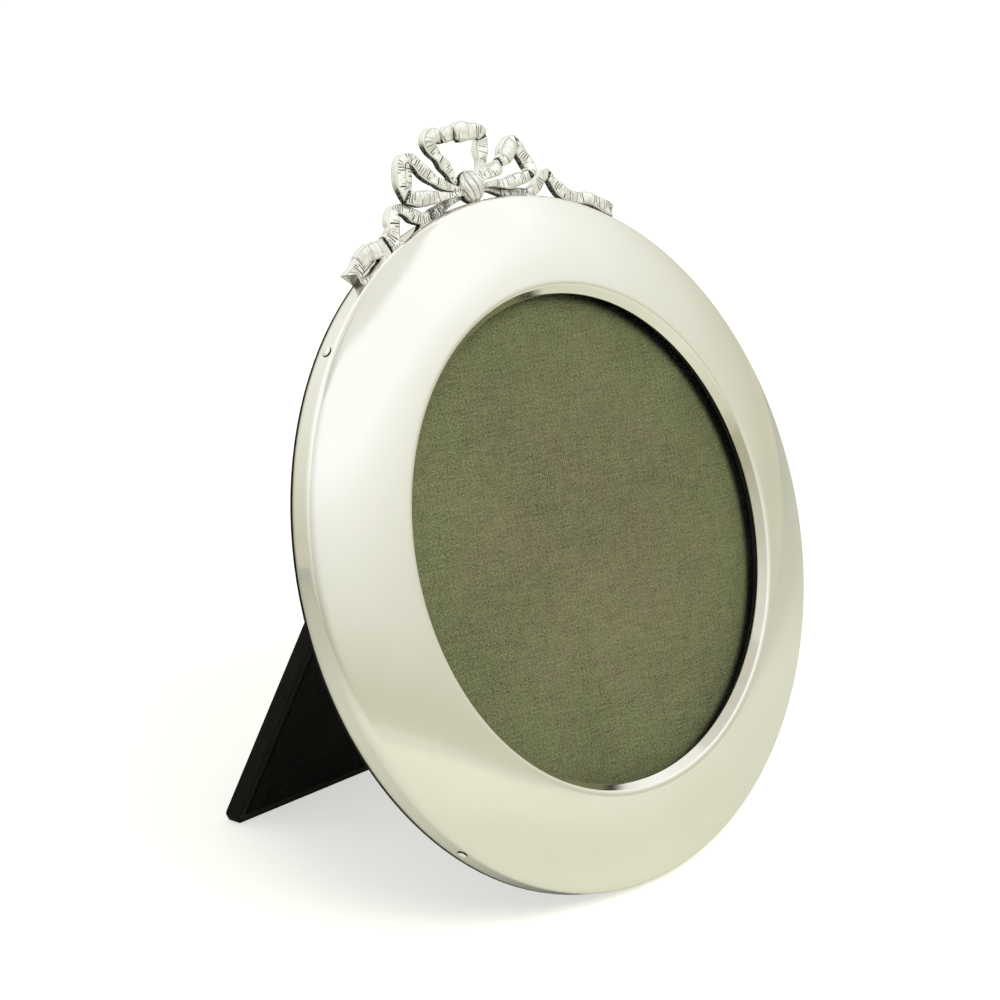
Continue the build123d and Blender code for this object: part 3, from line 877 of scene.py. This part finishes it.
@dataclass
class RibbonBow:
    """The cast bow on the rim: ribbons along their ways and a pleated knot, in bench millimetres."""

    ring_radius: float = 89.0
    width: float = 4.0
    thickness: float = 2.2
    edge_rounding: float = 0.28
    section_points: int = 48
    crown: float = 0.06
    crease_depth: float = 0.5
    crease_sharpness: float = 9.0
    tail_notch: float = 2.2
    tail_length: float = 3.0
    step: float = 0.2
    sway: float = 0.2
    sway_pitch: float = 14.0
    frill: float = 0.03
    frill_pitch: float = 5.3
    drift: Span = (0.6, 1.4)
    flank_shade: float = 0.75
    rear_shade: float = 0.6
    crease_shade: float = 0.9
    end_shade: float = 0.25
    end_length: float = 0.6
    knot_radii: Triple = (3.8, 4.3, 3.7)
    knot_rise: float = 3.9
    knot_depth: float = 3.1
    knot_pleats: int = 11
    knot_pleat_depth: float = 0.34
    knot_twist: float = 0.42
    knot_rows: int = 64
    knot_pleat_columns: int = 24
    routes: tuple[RibbonRoute, ...] = (
        RibbonRoute("bow_centre_loop", 1.7, ((
            (-2.0, 4.4, 0, 1.6, 0, 0), (-4.1, 6.4, 0, 1.6, 0, 0), (-4.7, 8.6, 0, 2.2, 0, 0.1),
            (-5.9, 10.8, 0, 2.9, 0, 0), (-7.1, 12.6, 0.1, 3.1, 0, 0), (-8.2, 14.2, 0.2, 3.1, 0, 0),
            (-9.2, 15.6, 0.3, 3.3, 0.1, 0), (-9.6, 17.3, 0.4, 3.8, 0.5, 0), (-8.5, 18.5, 0.5, 4.0, 0.9, 0),
            (-6.7, 18.5, 0.5, 3.9, 0.6, 0), (-5.2, 17.5, 0.5, 2.7, 0, 1), (-3.8, 17.9, 0.5, 3.5, 0.5, 0),
            (-2.1, 18.2, 0.5, 4.2, 0.6, 0), (-0.5, 17.8, 0.5, 3.0, 0, 1), (1.2, 18.2, 0.6, 5.0, 0.7, 0),
            (3.4, 17.9, 0.7, 5.0, 0.8, 0), (6.5, 17.5, 0.7, 4.3, 0.4, 0.1), (8.8, 16.9, 0.7, 3.4, 0.1, 0.2),
            (9.9, 15.6, 0.1, 3.1, 0, 1), (9.8, 14.2, -0.4, 3.4, 0, 0.1), (9.2, 12.8, -0.4, 3.6, 0, 0),
            (8.4, 11.2, -0.3, 3.4, 0, 0), (7.8, 9.3, -0.2, 3.0, 0, 0), (6.8, 7.5, -0.1, 2.6, 0, 0),
            (5.0, 6.1, 0, 1.8, 0, 0.1), (2.0, 4.4, 0, 1.6, 0, 0)),)),
        RibbonRoute("bow_left_loop", 3.0, ((
            (-2.4, 3.6, 0, 1.4, 0, 0), (-5.3, 4.2, 0, 1.5, 0, 0.1), (-8.9, 5.7, 0, 2.2, 0, 0),
            (-11.6, 7.5, 0, 2.9, 0, 0), (-13.9, 9.4, 0, 3.2, 0.1, 0), (-15.5, 11.1, 0, 3.2, 0.1, 0),
            (-16.7, 12.8, 0, 2.9, 0, 0), (-18.0, 14.1, 0, 2.5, 0, 0), (-19.5, 14.7, 0, 2.3, 0, 0),
            (-21.0, 14.5, 0, 2.4, 0, 0), (-22.2, 13.5, 0, 2.6, 0, 0), (-22.9, 12.0, 0, 2.7, 0.1, 0),
            (-23.4, 10.2, 0, 2.7, 0.2, 0), (-23.7, 8.3, 0, 2.7, 0.1, 0), (-23.6, 6.8, 0, 2.9, 0, 0.2),
            (-22.7, 5.4, 0.1, 3.6, 0, 1), (-21.2, 4.6, 0.2, 3.4, 0, 0.2), (-19.0, 4.1, 0.2, 4.0, 0.5, 0),
            (-15.7, 3.7, 0.2, 3.7, 0.4, 0), (-12.6, 3.4, 0.1, 3.0, 0.2, 0), (-9.5, 3.2, 0, 2.1, 0, 0),
            (-6.8, 2.9, 0, 1.5, 0, 0), (-4.5, 2.8, 0, 1.4, 0, 0), (-2.4, 2.8, 0, 1.4, 0, 0)), (
            (-18.3, 13.6, -0.9, 1.8, 0, 0.9), (-19.0, 12.4, -0.9, 2.2, 0, 0.3),
            (-19.6, 11.0, -0.9, 2.4, 0, 0.1), (-20.1, 9.4, -0.9, 2.5, 0, 0.1),
            (-20.7, 7.8, -0.9, 2.4, 0, 0.3), (-21.1, 6.2, -0.9, 2.2, 0, 1)))),
        RibbonRoute("bow_right_loop", 3.0, ((
            (2.2, 4.2, 0, 1.4, 0, 0), (6.0, 5.7, 0, 1.9, 0, 0.1), (8.6, 6.3, 0.1, 3.1, 0.3, 0),
            (10.7, 7.0, 0.2, 3.9, 0.7, 0), (12.3, 8.1, 0.2, 2.4, 0, 1), (14.3, 8.9, 0.2, 3.9, 0.5, 0),
            (15.8, 10.4, 0.3, 4.6, 0.9, 0), (17.1, 11.7, 0.4, 4.4, 0.8, 0),
            (18.5, 12.5, 0.4, 3.7, 0.4, 0.1), (19.9, 12.2, 0.3, 3.1, 0, 1), (20.8, 10.9, -0.3, 3.0, 0, 0.2),
            (21.8, 8.6, -0.4, 3.2, 0, 0), (22.8, 6.4, -0.3, 3.2, 0, 0), (23.1, 4.8, 0, 3.2, 0, 0.2),
            (21.9, 3.3, 0.2, 2.9, 0, 1), (19.6, 2.9, 0.2, 3.1, 0.3, 0), (16.8, 2.9, 0.2, 3.5, 0.5, 0),
            (14.1, 2.5, 0.2, 3.3, 0.3, 0), (11.6, 2.7, 0.1, 2.6, 0, 0), (9.0, 3.2, 0, 1.8, 0, 0),
            (5.7, 3.4, 0, 1.4, 0, 0.1), (2.2, 3.3, 0, 1.4, 0, 0)),)),
        RibbonRoute("bow_left_streamer", 1.5, ((
            (-2.4, 2.2, 0, 1.4, 0, 0), (-7.1, 1.4, -0.1, 2.0, 0, 0.87), (-11.9, 0.1, -0.2, 2.9, 0, 0.91),
            (-15.5, -0.9, -0.1, 3.1, 0, 0.92), (-18.3, -0.8, 0, 3.1, 0, 0.3),
            (-21.0, 0.4, 0.1, 3.3, 0.1, 0), (-22.8, 1.7, 0.1, 3.1, 0.1, 0), (-24.6, 2.7, 0.2, 2.7, 0, 0),
            (-26.4, 3.0, 0.3, 2.4, 0, 0), (-28.0, 2.3, 0.4, 2.7, 0, 0.1), (-28.8, 0.4, 0.5, 3.8, 0.1, 0),
            (-29.2, -1.8, 0.4, 4.5, 0.1, 0), (-30.3, -3.7, 0.2, 4.3, 0, 0.3), (-32.3, -4.8, 0, 4.0, 0, 1),
            (-35.3, -5.4, 0, 4.4, 0.5, 0), (-38.4, -5.6, 0.1, 4.6, 0.7, 0), (-40.6, -6.2, 0.1, 4.7, 0.4, 0),
            (-42.9, -7.6, 0, 4.3, 0.1, 0.9), (-44.7, -9.4, 0, 4.5, 0.3, 0),
            (-46.9, -11.4, 0, 5.4, 0.1, 0)),), True),
        RibbonRoute("bow_right_streamer", 1.5, ((
            (2.2, 2.6, 0, 1.4, 0, 0), (6.8, 2.6, 0, 1.4, 0, 0.2), (10.8, 1.2, -0.1, 1.8, 0, 0.86),
            (14.2, 0, -0.2, 2.2, 0, 0.89), (18.1, -0.4, -0.2, 2.5, 0, 0.9),
            (21.7, -1.2, -0.1, 2.9, 0, 0.86), (24.8, -0.2, 0.1, 3.1, 0.1, 0), (27.0, 1.4, 0.2, 3.1, 0.1, 0),
            (28.8, 2.4, 0.3, 2.9, 0, 0.1), (30.3, 2.0, 0.2, 2.7, 0, 1), (31.6, 0.3, -0.2, 2.8, 0, 0.1),
            (32.9, -1.4, -0.2, 3.1, 0.1, 0), (34.3, -3.2, -0.1, 3.4, 0.1, 0), (36.3, -4.5, 0, 3.0, 0, 0.9),
            (38.9, -5.5, 0, 3.0, 0.1, 0), (41.7, -6.0, 0.1, 3.4, 0.4, 0), (44.0, -6.8, 0.1, 3.5, 0.4, 0),
            (46.6, -8.4, 0, 3.5, 0.1, 0.3), (49.1, -9.8, 0, 3.3, 0.1, 0),
            (51.2, -11.4, 0, 3.4, 0, 0)),), True),
    )

    def tree(self, material: bpy.types.Material) -> NodeWork:
        """The node tree that lays a ribbon of uneven width along its ways."""
        work = NodeWork("bow_ribbon")
        width, thickness, rounding, crown, notch, step, sway, sway_pitch, frill, frill_pitch = work.sizes(
            Width=self.width, Thickness=self.thickness, Edge_rounding=self.edge_rounding, Crown=self.crown,
            Tail_notch=0.0, Step=self.step, Sway=self.sway, Sway_pitch=self.sway_pitch, Frill=self.frill,
            Frill_pitch=self.frill_pitch)
        way = work.out("GeometryNodeMeshToCurve", Mesh=work.source)
        curved = work.out("GeometryNodeCurveSplineType", {"spline_type": "CATMULL_ROM"}, Curve=way)
        even = work.out("GeometryNodeResampleCurve", {"mode": "LENGTH"}, Curve=curved, Length=step)
        kept = work.out("GeometryNodeSetCurveNormal", {"mode": "Z_UP"}, Curve=even)
        span = work.node("GeometryNodeSplineParameter").outputs
        along = Wire(work, span["Length"])
        whole = along / work.math("MAXIMUM", span["Factor"], 1e-4)
        forward = work.out("GeometryNodeInputTangent")
        side = work.out("GeometryNodeInputNormal")
        for name, value in (("along", along), ("left", whole - along)):
            kept = work.keep(kept, name, value)
        face = work.vector("CROSS_PRODUCT", side, forward)
        for name, value in (("forward", forward), ("side", side), ("face", face)):
            kept = work.keep(kept, name, value, "FLOAT_VECTOR")
        section = work.out("GeometryNodeCurvePrimitiveQuadrilateral", Width=width, Height=thickness)
        soft = work.out("GeometryNodeFilletCurve", {"mode": "POLY"}, Curve=section, Count=3, Radius=rounding)
        fine = work.out("GeometryNodeResampleCurve", {"mode": "COUNT"}, Curve=soft, Count=self.section_points)
        spot = work.out("GeometryNodeInputPosition")
        fine = work.keep(fine, "across", work.axis(spot, 0) * 2.0 / width)
        fine = work.keep(fine, "level", work.axis(spot, 1) * -2.0 / thickness)
        swept = work.out("GeometryNodeCurveToMesh", Curve=kept, Profile_Curve=fine, Fill_Caps=True)

        across, level, run, wide, left = map(work.read, ("across", "level", "along", "wide", "left"))
        forward, side, face = (work.read(name, "FLOAT_VECTOR") for name in ("forward", "side", "face"))
        gloom = work.math("MAXIMUM", work.read("gloom"), 0.0)
        crease = work.math("POWER", gloom, self.crease_sharpness)
        drift = work.math("SINE", run * self.drift[0]) * self.drift[1]
        swaying, frilled = (work.math("SINE", run * (2.0 * math.pi) / pitch + drift)
                            for pitch in (sway_pitch, frill_pitch))
        spread = across * ((wide - width) * 0.5 + frilled * frill)
        dome = (crown + work.read("puff")) * (1.0 - across * across)
        height = (dome - crease * self.crease_depth) * work.ramp(level, -0.2, 0.8)
        height = height + across * wide * 0.5 * (swaying * sway)
        tail = (1.0 - abs(across)) * (1.0 - work.ramp(left, 0.0, self.tail_length))
        lift, pull, widen = (work.vector("SCALE", toward, size) for toward, size in (
            (face, height), (forward, tail * notch * -1.0), (side, spread)))
        offset = work.vector("ADD", work.vector("ADD", lift, pull), widen)
        shaped = work.out("GeometryNodeSetPosition", Geometry=swept, Offset=offset)

        # Painted shade: flanks turned downwards, the ribbon's back and stretches with gloom under other
        # ribbons are darkened, creases too, less at the ribbon's ends.
        sunless = 1.0 - work.ramp(across * work.axis(side, 1), -0.25, 0.35)
        flank = work.ramp(abs(across), 0.86, 0.93) * (1.0 - work.ramp(level, 0.5, 0.75))
        rear = (1.0 - work.ramp(level, -0.95, -0.7)) * self.rear_shade
        oxide_and_painted_shade = work.math("MAXIMUM", sunless * flank * self.flank_shade, rear)
        oxide_and_painted_shade = work.math("MAXIMUM", oxide_and_painted_shade, crease * self.crease_shade)
        bare = self.end_shade + work.ramp(left, 0.0, self.end_length) * (1.0 - self.end_shade)
        work.close(work.keep(shaped, "oxide_and_painted_shade", oxide_and_painted_shade * bare), material)
        return work

    def way_mesh(self, route: RibbonRoute) -> bpy.types.Mesh:
        """The ribbon's ways as chains of points with their width, puff and gloom."""
        mesh = bpy.data.meshes.new(f"{route.node}_way")
        stations = [station for way in route.ways for station in way]
        points = [(across, self.ring_radius + above, route.depth + ahead)
                  for across, above, ahead, *_ in stations]
        spans = []
        for way in route.ways:
            first = spans[-1][1] + 1 if spans else 0
            spans += [(index, index + 1) for index in range(first, first + len(way) - 1)]
        mesh.from_pydata(points, spans, [])
        for place, name in ((3, "wide"), (4, "puff"), (5, "gloom")):
            mark(mesh, name, [station[place] for station in stations])
        return mesh

    def knot_mesh(self) -> bpy.types.Mesh:
        """The knot: an upright ball of slanted pleats, drawn in at top and bottom."""
        rows, columns = self.knot_rows, self.knot_pleat_columns * self.knot_pleats
        polar = np.linspace(0.0, math.pi, rows)[:, None]
        turn = np.linspace(0.0, 2.0 * math.pi, columns, endpoint=False)[None, :]
        fold = np.abs(np.sin(self.knot_pleats / 2 * (turn + self.knot_twist * np.cos(polar))))
        groove = (1.0 - fold) ** 2
        reach = 1.0 - self.knot_pleat_depth / self.knot_radii[0] * groove * np.sin(polar)
        places = np.stack((self.knot_radii[0] * reach * np.sin(polar) * np.cos(turn),
                           self.knot_radii[1] * np.cos(polar) * np.ones_like(turn),
                           -self.knot_radii[2] * reach * np.sin(polar) * np.sin(turn)), axis=-1)
        points = places.reshape(-1, 3) + np.array((0.0, self.ring_radius + self.knot_rise, self.knot_depth))
        # Painted shade on the knot's sides and back, turned from the front; the pleat grooves are darkened as
        # oxide.
        facing = -np.sin(polar) * np.sin(turn)
        beside = np.clip((0.22 - facing) / 0.2, 0.0, 1.0) - 0.4 * np.clip(-facing / 0.5, 0.0, 1.0)
        pleated = 0.92 * (np.clip(groove - 0.45, 0.0, 1.0) / 0.55)
        marks = {"oxide_and_painted_shade": np.maximum(pleated, 0.9 * beside), "along": 40.0 + 6.0 * turn + 0.0 * polar,
                 "across": np.zeros_like(groove), "puff": np.ones_like(groove)}
        return bench_mesh("bow_knot_pleated", points, grid_faces(rows, columns, False, True), marks)

    def build(self, finishes: Finishes) -> list[bpy.types.Object]:
        """Make every ribbon and the knot and put them on the frame."""
        work = self.tree(finishes.engraved)
        pieces = []
        for route in self.routes:
            notch = self.tail_notch if route.has_tail else 0.0
            piece = work.piece(f"{route.node}_ribbon", self.way_mesh(route), Tail_notch=notch)
            seat(piece, Body.FRAME, "bow_silver", route.node)
            pieces.append(piece)
        knot = link_piece("bow_knot_pleated", self.knot_mesh())
        dress(knot, finishes.engraved)
        seat(knot, Body.FRAME, "bow_silver", "bow_knot")
        return [*pieces, knot]


@dataclass
class Insert:
    """The cloth stretched over the insert's card, in bench millimetres."""

    radius: float = 67.9
    front: float = 9.18
    back: float = 6.72
    turn_in: float = 8.0
    edge_rounding: float = 0.5
    map_slant: float = 0.35
    segments: int = 240

    def build(self, finishes: Finishes) -> bpy.types.Object:
        """Make the stretched cloth with its turned-in edge and its own flat map."""
        rings = np.linspace(0.0, self.radius - self.edge_rounding, 60)
        face = np.column_stack((rings, np.full_like(rings, self.front)))[::-1]
        bend_front = rounded_corner(np.array((self.radius, self.front - self.edge_rounding)),
                                    np.array((self.radius, self.front)), face[0], 6)
        bend_back = rounded_corner(np.array((self.radius - self.edge_rounding, self.back)),
                                   np.array((self.radius, self.back)),
                                   np.array((self.radius, self.back + self.edge_rounding)), 6)
        under = np.linspace((self.radius - self.turn_in, self.back), bend_back[0], 8)[:-1]
        profile = np.vstack((under, bend_back, bend_front[:-1], face))
        mesh = spun("stretched_cloth", profile, self.segments, closed=False)
        bench = STAND.inverted()
        places = [bench @ vertex.co for vertex in mesh.vertices]
        flat = mesh.uv_layers.new(name="cloth")
        for loop in mesh.loops:
            place = places[loop.vertex_index]
            slant = self.map_slant * place.z
            flat.data[loop.index].uv = (place.x + slant, place.y + slant)
        piece = link_piece("stretched_cloth", mesh)
        dress(piece, finishes.cloth)
        seat(piece, Body.FRAME, "green_cloth", "insert_cloth")
        return piece


@dataclass
class HingeScrews:
    """Slotted screws of the strut's hinge, in bench millimetres and as on the solids' hinge."""

    pitch: float = 13.0
    row_gap: float = 6.0
    leaf_start: float = 2.5
    leaf_length: float = 16.0
    leaf_side: float = 1.2
    head_radius: float = 1.7
    head_height: float = 0.62
    slot_width: float = 0.34
    hinge_rise: float = 54.0
    hinge_drop: float = 2.2
    opening_degrees: float = 40.0
    slot_turns: tuple[float, ...] = (0.5, 1.3, 2.2, 0.1)

    def tree(self, material: bpy.types.Material) -> NodeWork:
        """The node tree that sets a slotted head on every point, facing the way that the point carries."""
        work = NodeWork("hinge_screws")
        radius, rise, slot = work.sizes(
            Head_radius=self.head_radius, Head_height=self.head_height, Slot_width=self.slot_width)
        blade = work.out("GeometryNodeMeshCube", Size=work.point(radius * 2.4, slot, rise))
        raised = work.out("GeometryNodeTransform", Geometry=blade, Translation=work.point(z=rise))
        cut = work.out("GeometryNodeMeshBoolean", {"operation": "DIFFERENCE"},
                       Mesh_1=work.dome(28, radius, rise), Mesh_2=raised)
        outward = work.read("out", "FLOAT_VECTOR")
        aim = work.out("FunctionNodeAlignRotationToVector", {"axis": "Z"}, Vector=outward)
        twist = work.out("FunctionNodeAxisAngleToRotation", Angle=work.read("twist"))
        spin = work.out("FunctionNodeRotateRotation", {"rotation_space": "LOCAL"},
                        Rotation=aim, Rotate_By=twist)
        heads = work.out("GeometryNodeInstanceOnPoints", Points=work.source, Instance=cut, Rotation=spin)
        work.close(heads, material)
        return work

    def spots(self, leaf: Matrix) -> bpy.types.Mesh:
        """The screws' places on one leaf.

        Args:
            leaf: The leaf's own frame on the bench: X along the pin, Y down the leaf, Z into what carries it.

        Returns:
            A mesh of points, each with its outward direction and the turn of its slot.
        """
        middle = self.leaf_start + self.leaf_length / 2
        points = [leaf @ Vector((side * self.pitch / 2, middle + row * self.row_gap / 2, self.leaf_side))
                  for side in (-1, 1) for row in (-1, 1)]
        mesh = bpy.data.meshes.new("hinge_screw_spots")
        mesh.from_pydata(points, [], [])
        outward = leaf.to_3x3() @ Vector((0.0, 0.0, -1.0))
        stored = mesh.attributes.new("out", "FLOAT_VECTOR", "POINT")
        stored.data.foreach_set("vector", list(outward) * len(points))
        mark(mesh, "twist", self.slot_turns)
        return mesh

    def build(self, finishes: Finishes) -> list[bpy.types.Object]:
        """Make the screws of both leaves and put them on their bodies."""
        work = self.tree(finishes.brass)
        axis = Matrix.Translation((0.0, self.hinge_rise, -self.hinge_drop))
        door_leaf = axis @ Matrix.Rotation(math.pi, 4, "Z")
        strut_leaf = axis @ Matrix.Rotation(math.radians(180.0 + self.opening_degrees), 4, "X")
        pieces = []
        for name, body, leaf, node in (
                ("hinge_screws_on_door", Body.FRAME, door_leaf, "hinge_door_screws"),
                ("hinge_screws_on_strut", Body.STRUT, strut_leaf, "hinge_strut_screws")):
            piece = work.piece(name, self.spots(leaf))
            seat(piece, body, "brass", node)
            pieces.append(piece)
        return pieces


@dataclass
class SolidPieces:
    """The pieces that keep their solids and only get a finish."""

    leathercloth: tuple[str, ...] = ("back_facing", "door_facing", "strut_cover", "strut_lining")
    black_wood: tuple[str, ...] = ("carcass_ring", "strut_board")
    plain_wood: tuple[str, ...] = ("back_door",)
    card: tuple[str, ...] = ("insert_board", "packing_card")
    glass: tuple[str, ...] = ("glass_pane",)
    brass: tuple[str, ...] = (
        "turn_button_top", "turn_button_left", "turn_button_right", "turn_button_screws",
        "hinge_door_leaf", "hinge_strut_leaf", "hinge_pin")

    def dress(self, finishes: Finishes) -> None:
        """Give every kept solid its finish."""
        for nodes, material in (
                (self.leathercloth, finishes.leathercloth), (self.black_wood, finishes.black_wood),
                (self.plain_wood, finishes.plain_wood), (self.card, finishes.card),
                (self.glass, finishes.glass), (self.brass, finishes.brass)):
            for node in nodes:
                dress(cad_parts[node], material)
                log.info("%s keeps its solid, finish %s", node, material.name)


@dataclass(frozen=True)
class Lamp:
    """A soft rectangular lamp: its place, width and height in metres and its power in watts."""

    name: str
    place: Triple
    size: Span
    power: float


@dataclass
class Studio:
    """Floor, soft light, a glowing tent seen only in reflections and the camera, in metres, with the camera's
    place on the bench.
    """

    world_tint: Colour = (0.97, 0.985, 1.0)
    world_strength: float = 0.55
    floor_radius: float = 9.0
    floor_middle: Triple = (0.0, -0.2, 0.0)
    floor_bands: tuple[Span, ...] = ((0.00, 0.90), (0.25, 0.84), (0.40, 0.69), (0.90, 0.62))
    floor_warmth: float = 0.83
    floor_speckle: Colour = (0.6, 0.6, 0.55)
    floor_glow: Span = (0.52, 0.64)
    tent_radius: float = 0.95
    tent_bands: tuple[tuple[float, Colour], ...] = (
        (0.00, (0.600, 0.585, 0.470)), (0.10, (0.575, 0.565, 0.450)), (0.24, (0.655, 0.650, 0.555)),
        (0.34, (0.725, 0.725, 0.645)), (0.44, (0.785, 0.790, 0.725)), (0.58, (0.875, 0.880, 0.840)),
        (0.70, (0.990, 1.000, 1.000)), (0.885, (1.000, 1.000, 1.000)), (0.90, (0.790, 0.785, 0.745)),
        (1.00, (0.770, 0.765, 0.725)))
    tent_strength: float = 1.12
    tent_dim_side: float = 0.78
    tent_dim_degrees: Span = (-165.0, -105.0)
    lamps: tuple[Lamp, ...] = (Lamp("key", (-0.35, -1.15, 1.25), (1.1, 0.9), 14.0),
                               Lamp("fill", (1.3, -0.5, 0.8), (0.9, 0.9), 3.0))
    lamp_aim: Triple = (0.0, 0.0, 0.09)
    camera_place: Triple = (-630.12, 80.37, 612.98)
    camera_right: Triple = (0.6685, -0.2566, 0.6981)
    camera_down: Triple = (-0.2329, -0.9636, -0.1312)
    focal_pixels: float = 3467.0
    picture_pixels: float = 1000.0
    sensor: float = 36.0

    def build(self) -> None:
        """Set the stage."""
        scene = bpy.context.scene
        scene.view_settings.view_transform = "Standard"
        self.world(scene)
        self.floor()
        self.tent()
        for lamp in self.lamps:
            self.hang(lamp)
        self.camera(scene)
        log.info("studio set")

    def world(self, scene: bpy.types.Scene) -> None:
        """White to the eye and in reflections, softer as light."""
        scene.world = bpy.data.worlds.new("studio")
        scene.world.use_nodes = True
        board = NodeBoard(scene.world.node_tree)
        board.tree.nodes.clear()
        soft = board.out("ShaderNodeBackground", Color=(*self.world_tint, 1.0), Strength=self.world_strength)
        white = board.out("ShaderNodeBackground", Color=(1.0, 1.0, 1.0, 1.0), Strength=1.0)
        rays = board.node("ShaderNodeLightPath").outputs
        seen = rays["Is Camera Ray"]
        for name in ("Is Glossy Ray", "Is Transmission Ray"):
            seen = board.math("MAXIMUM", seen, rays[name])
        mix = board.node("ShaderNodeMixShader")
        for socket, value in zip(mix.inputs, (seen, soft, white)):
            board.feed(socket, value)
        board.node("ShaderNodeOutputWorld", Surface=mix.outputs[0])

    def stage_piece(self, name: str, shape: bmesh.types.BMesh) -> bpy.types.Object:
        """Put a shape of the stage in the scene."""
        mesh = bpy.data.meshes.new(name)
        shape.to_mesh(mesh)
        shape.free()
        piece = link_piece(name, mesh)
        return piece

    def floor(self) -> None:
        """A pale floor that reads white and keeps the part's shadow."""
        disc = bmesh.new()
        bmesh.ops.create_circle(disc, cap_ends=True, segments=96, radius=self.floor_radius)
        piece = self.stage_piece("floor", disc)
        look = Shading("pale_floor")
        away = look.vector("DISTANCE", look.place, self.floor_middle)
        # Painted falloff of light: the floor's colour darkens away from the part; the camera's glow hides it
        # and reflections show it.
        painted_falloff = look.bands(away, tuple((place, (tone, tone, self.floor_warmth * tone))
                                      for place, tone in self.floor_bands))
        speckle = look.ramp(look.noise(40.0, 3.0), 0.3, 0.7, 0.0, 0.04)
        colour = look.blend(speckle, painted_falloff, self.floor_speckle)
        look.set(Base_Color=colour, Roughness=0.9, Specular_IOR_Level=0.1)
        rays = look.node("ShaderNodeLightPath").outputs
        seen = look.math("MAXIMUM", rays["Is Camera Ray"], rays["Is Transmission Ray"])
        glow = seen * look.ramp(away, 0.1, 0.6, *self.floor_glow)
        look.set(Emission_Color=(1.0, 1.0, 1.0, 1.0), Emission_Strength=glow)
        dress(piece, look.material)

    def tent(self) -> None:
        """A glowing tent round the part, painted in bands of light with a dimmer side, which only shows in
        reflections.
        """
        dome = bmesh.new()
        bmesh.ops.create_uvsphere(dome, u_segments=64, v_segments=48, radius=self.tent_radius)
        below = [vertex for vertex in dome.verts if vertex.co.z < -0.01]
        bmesh.ops.delete(dome, geom=below, context="VERTS")
        piece = self.stage_piece("tent", dome)
        for ray in ("visible_camera", "visible_diffuse", "visible_shadow", "visible_transmission"):
            setattr(piece, ray, False)
        look = Shading("tent_glow")
        across, ahead, height = (look.axis(look.place, index) for index in range(3))
        bands = look.bands(height / self.tent_radius, self.tent_bands)
        start, end = map(math.radians, self.tent_dim_degrees)
        # Painted light: the tent glows with no lamp, dimmer on one side.
        level = look.ramp(look.math("ARCTAN2", ahead, across), start, end,
                          self.tent_strength * self.tent_dim_side, self.tent_strength)
        look.set(Base_Color=(0.0, 0.0, 0.0, 1.0), Roughness=1.0, Specular_IOR_Level=0.0,
                 Emission_Color=bands, Emission_Strength=level)
        dress(piece, look.material)

    def hang(self, lamp: Lamp) -> None:
        """Hang one lamp so that it faces the part and stays out of reflections."""
        light = bpy.data.lights.new(lamp.name, "AREA")
        light.shape = "RECTANGLE"
        light.size, light.size_y = lamp.size
        light.energy = lamp.power
        hung = bpy.data.objects.new(lamp.name, light)
        hung.location = lamp.place
        hung.visible_glossy = False
        hung.rotation_euler = (Vector(self.lamp_aim) - Vector(lamp.place)).to_track_quat("-Z", "Y").to_euler()
        bpy.context.scene.collection.objects.link(hung)

    def camera(self, scene: bpy.types.Scene) -> None:
        """Stand the camera where the photograph was taken from."""
        data = bpy.data.cameras.new("camera")
        data.sensor_width = self.sensor
        data.lens = self.focal_pixels / self.picture_pixels * self.sensor
        data.clip_end = 50.0
        camera = bpy.data.objects.new("camera", data)
        scene.collection.objects.link(camera)
        turn = STAND.to_3x3().normalized()
        right = (turn @ Vector(self.camera_right)).normalized()
        up = -(turn @ Vector(self.camera_down))
        up = (up - right * up.dot(right)).normalized()
        back = right.cross(up)
        pose = Matrix((right, up, back)).transposed().to_4x4()
        pose.translation = STAND @ Vector(self.camera_place)
        camera.matrix_world = pose
        scene.camera = camera


def main() -> None:
    """Build the part's looks in order."""
    logging.basicConfig(level=logging.INFO, format="%(message)s")
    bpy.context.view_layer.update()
    finishes = Finishes()
    SilverFront().build(finishes)
    RimPins().build(finishes)
    RibbonBow().build(finishes)
    Insert().build(finishes)
    HingeScrews().build(finishes)
    SolidPieces().dress(finishes)
    Studio().build()


if __name__ == "__main__":
    main()
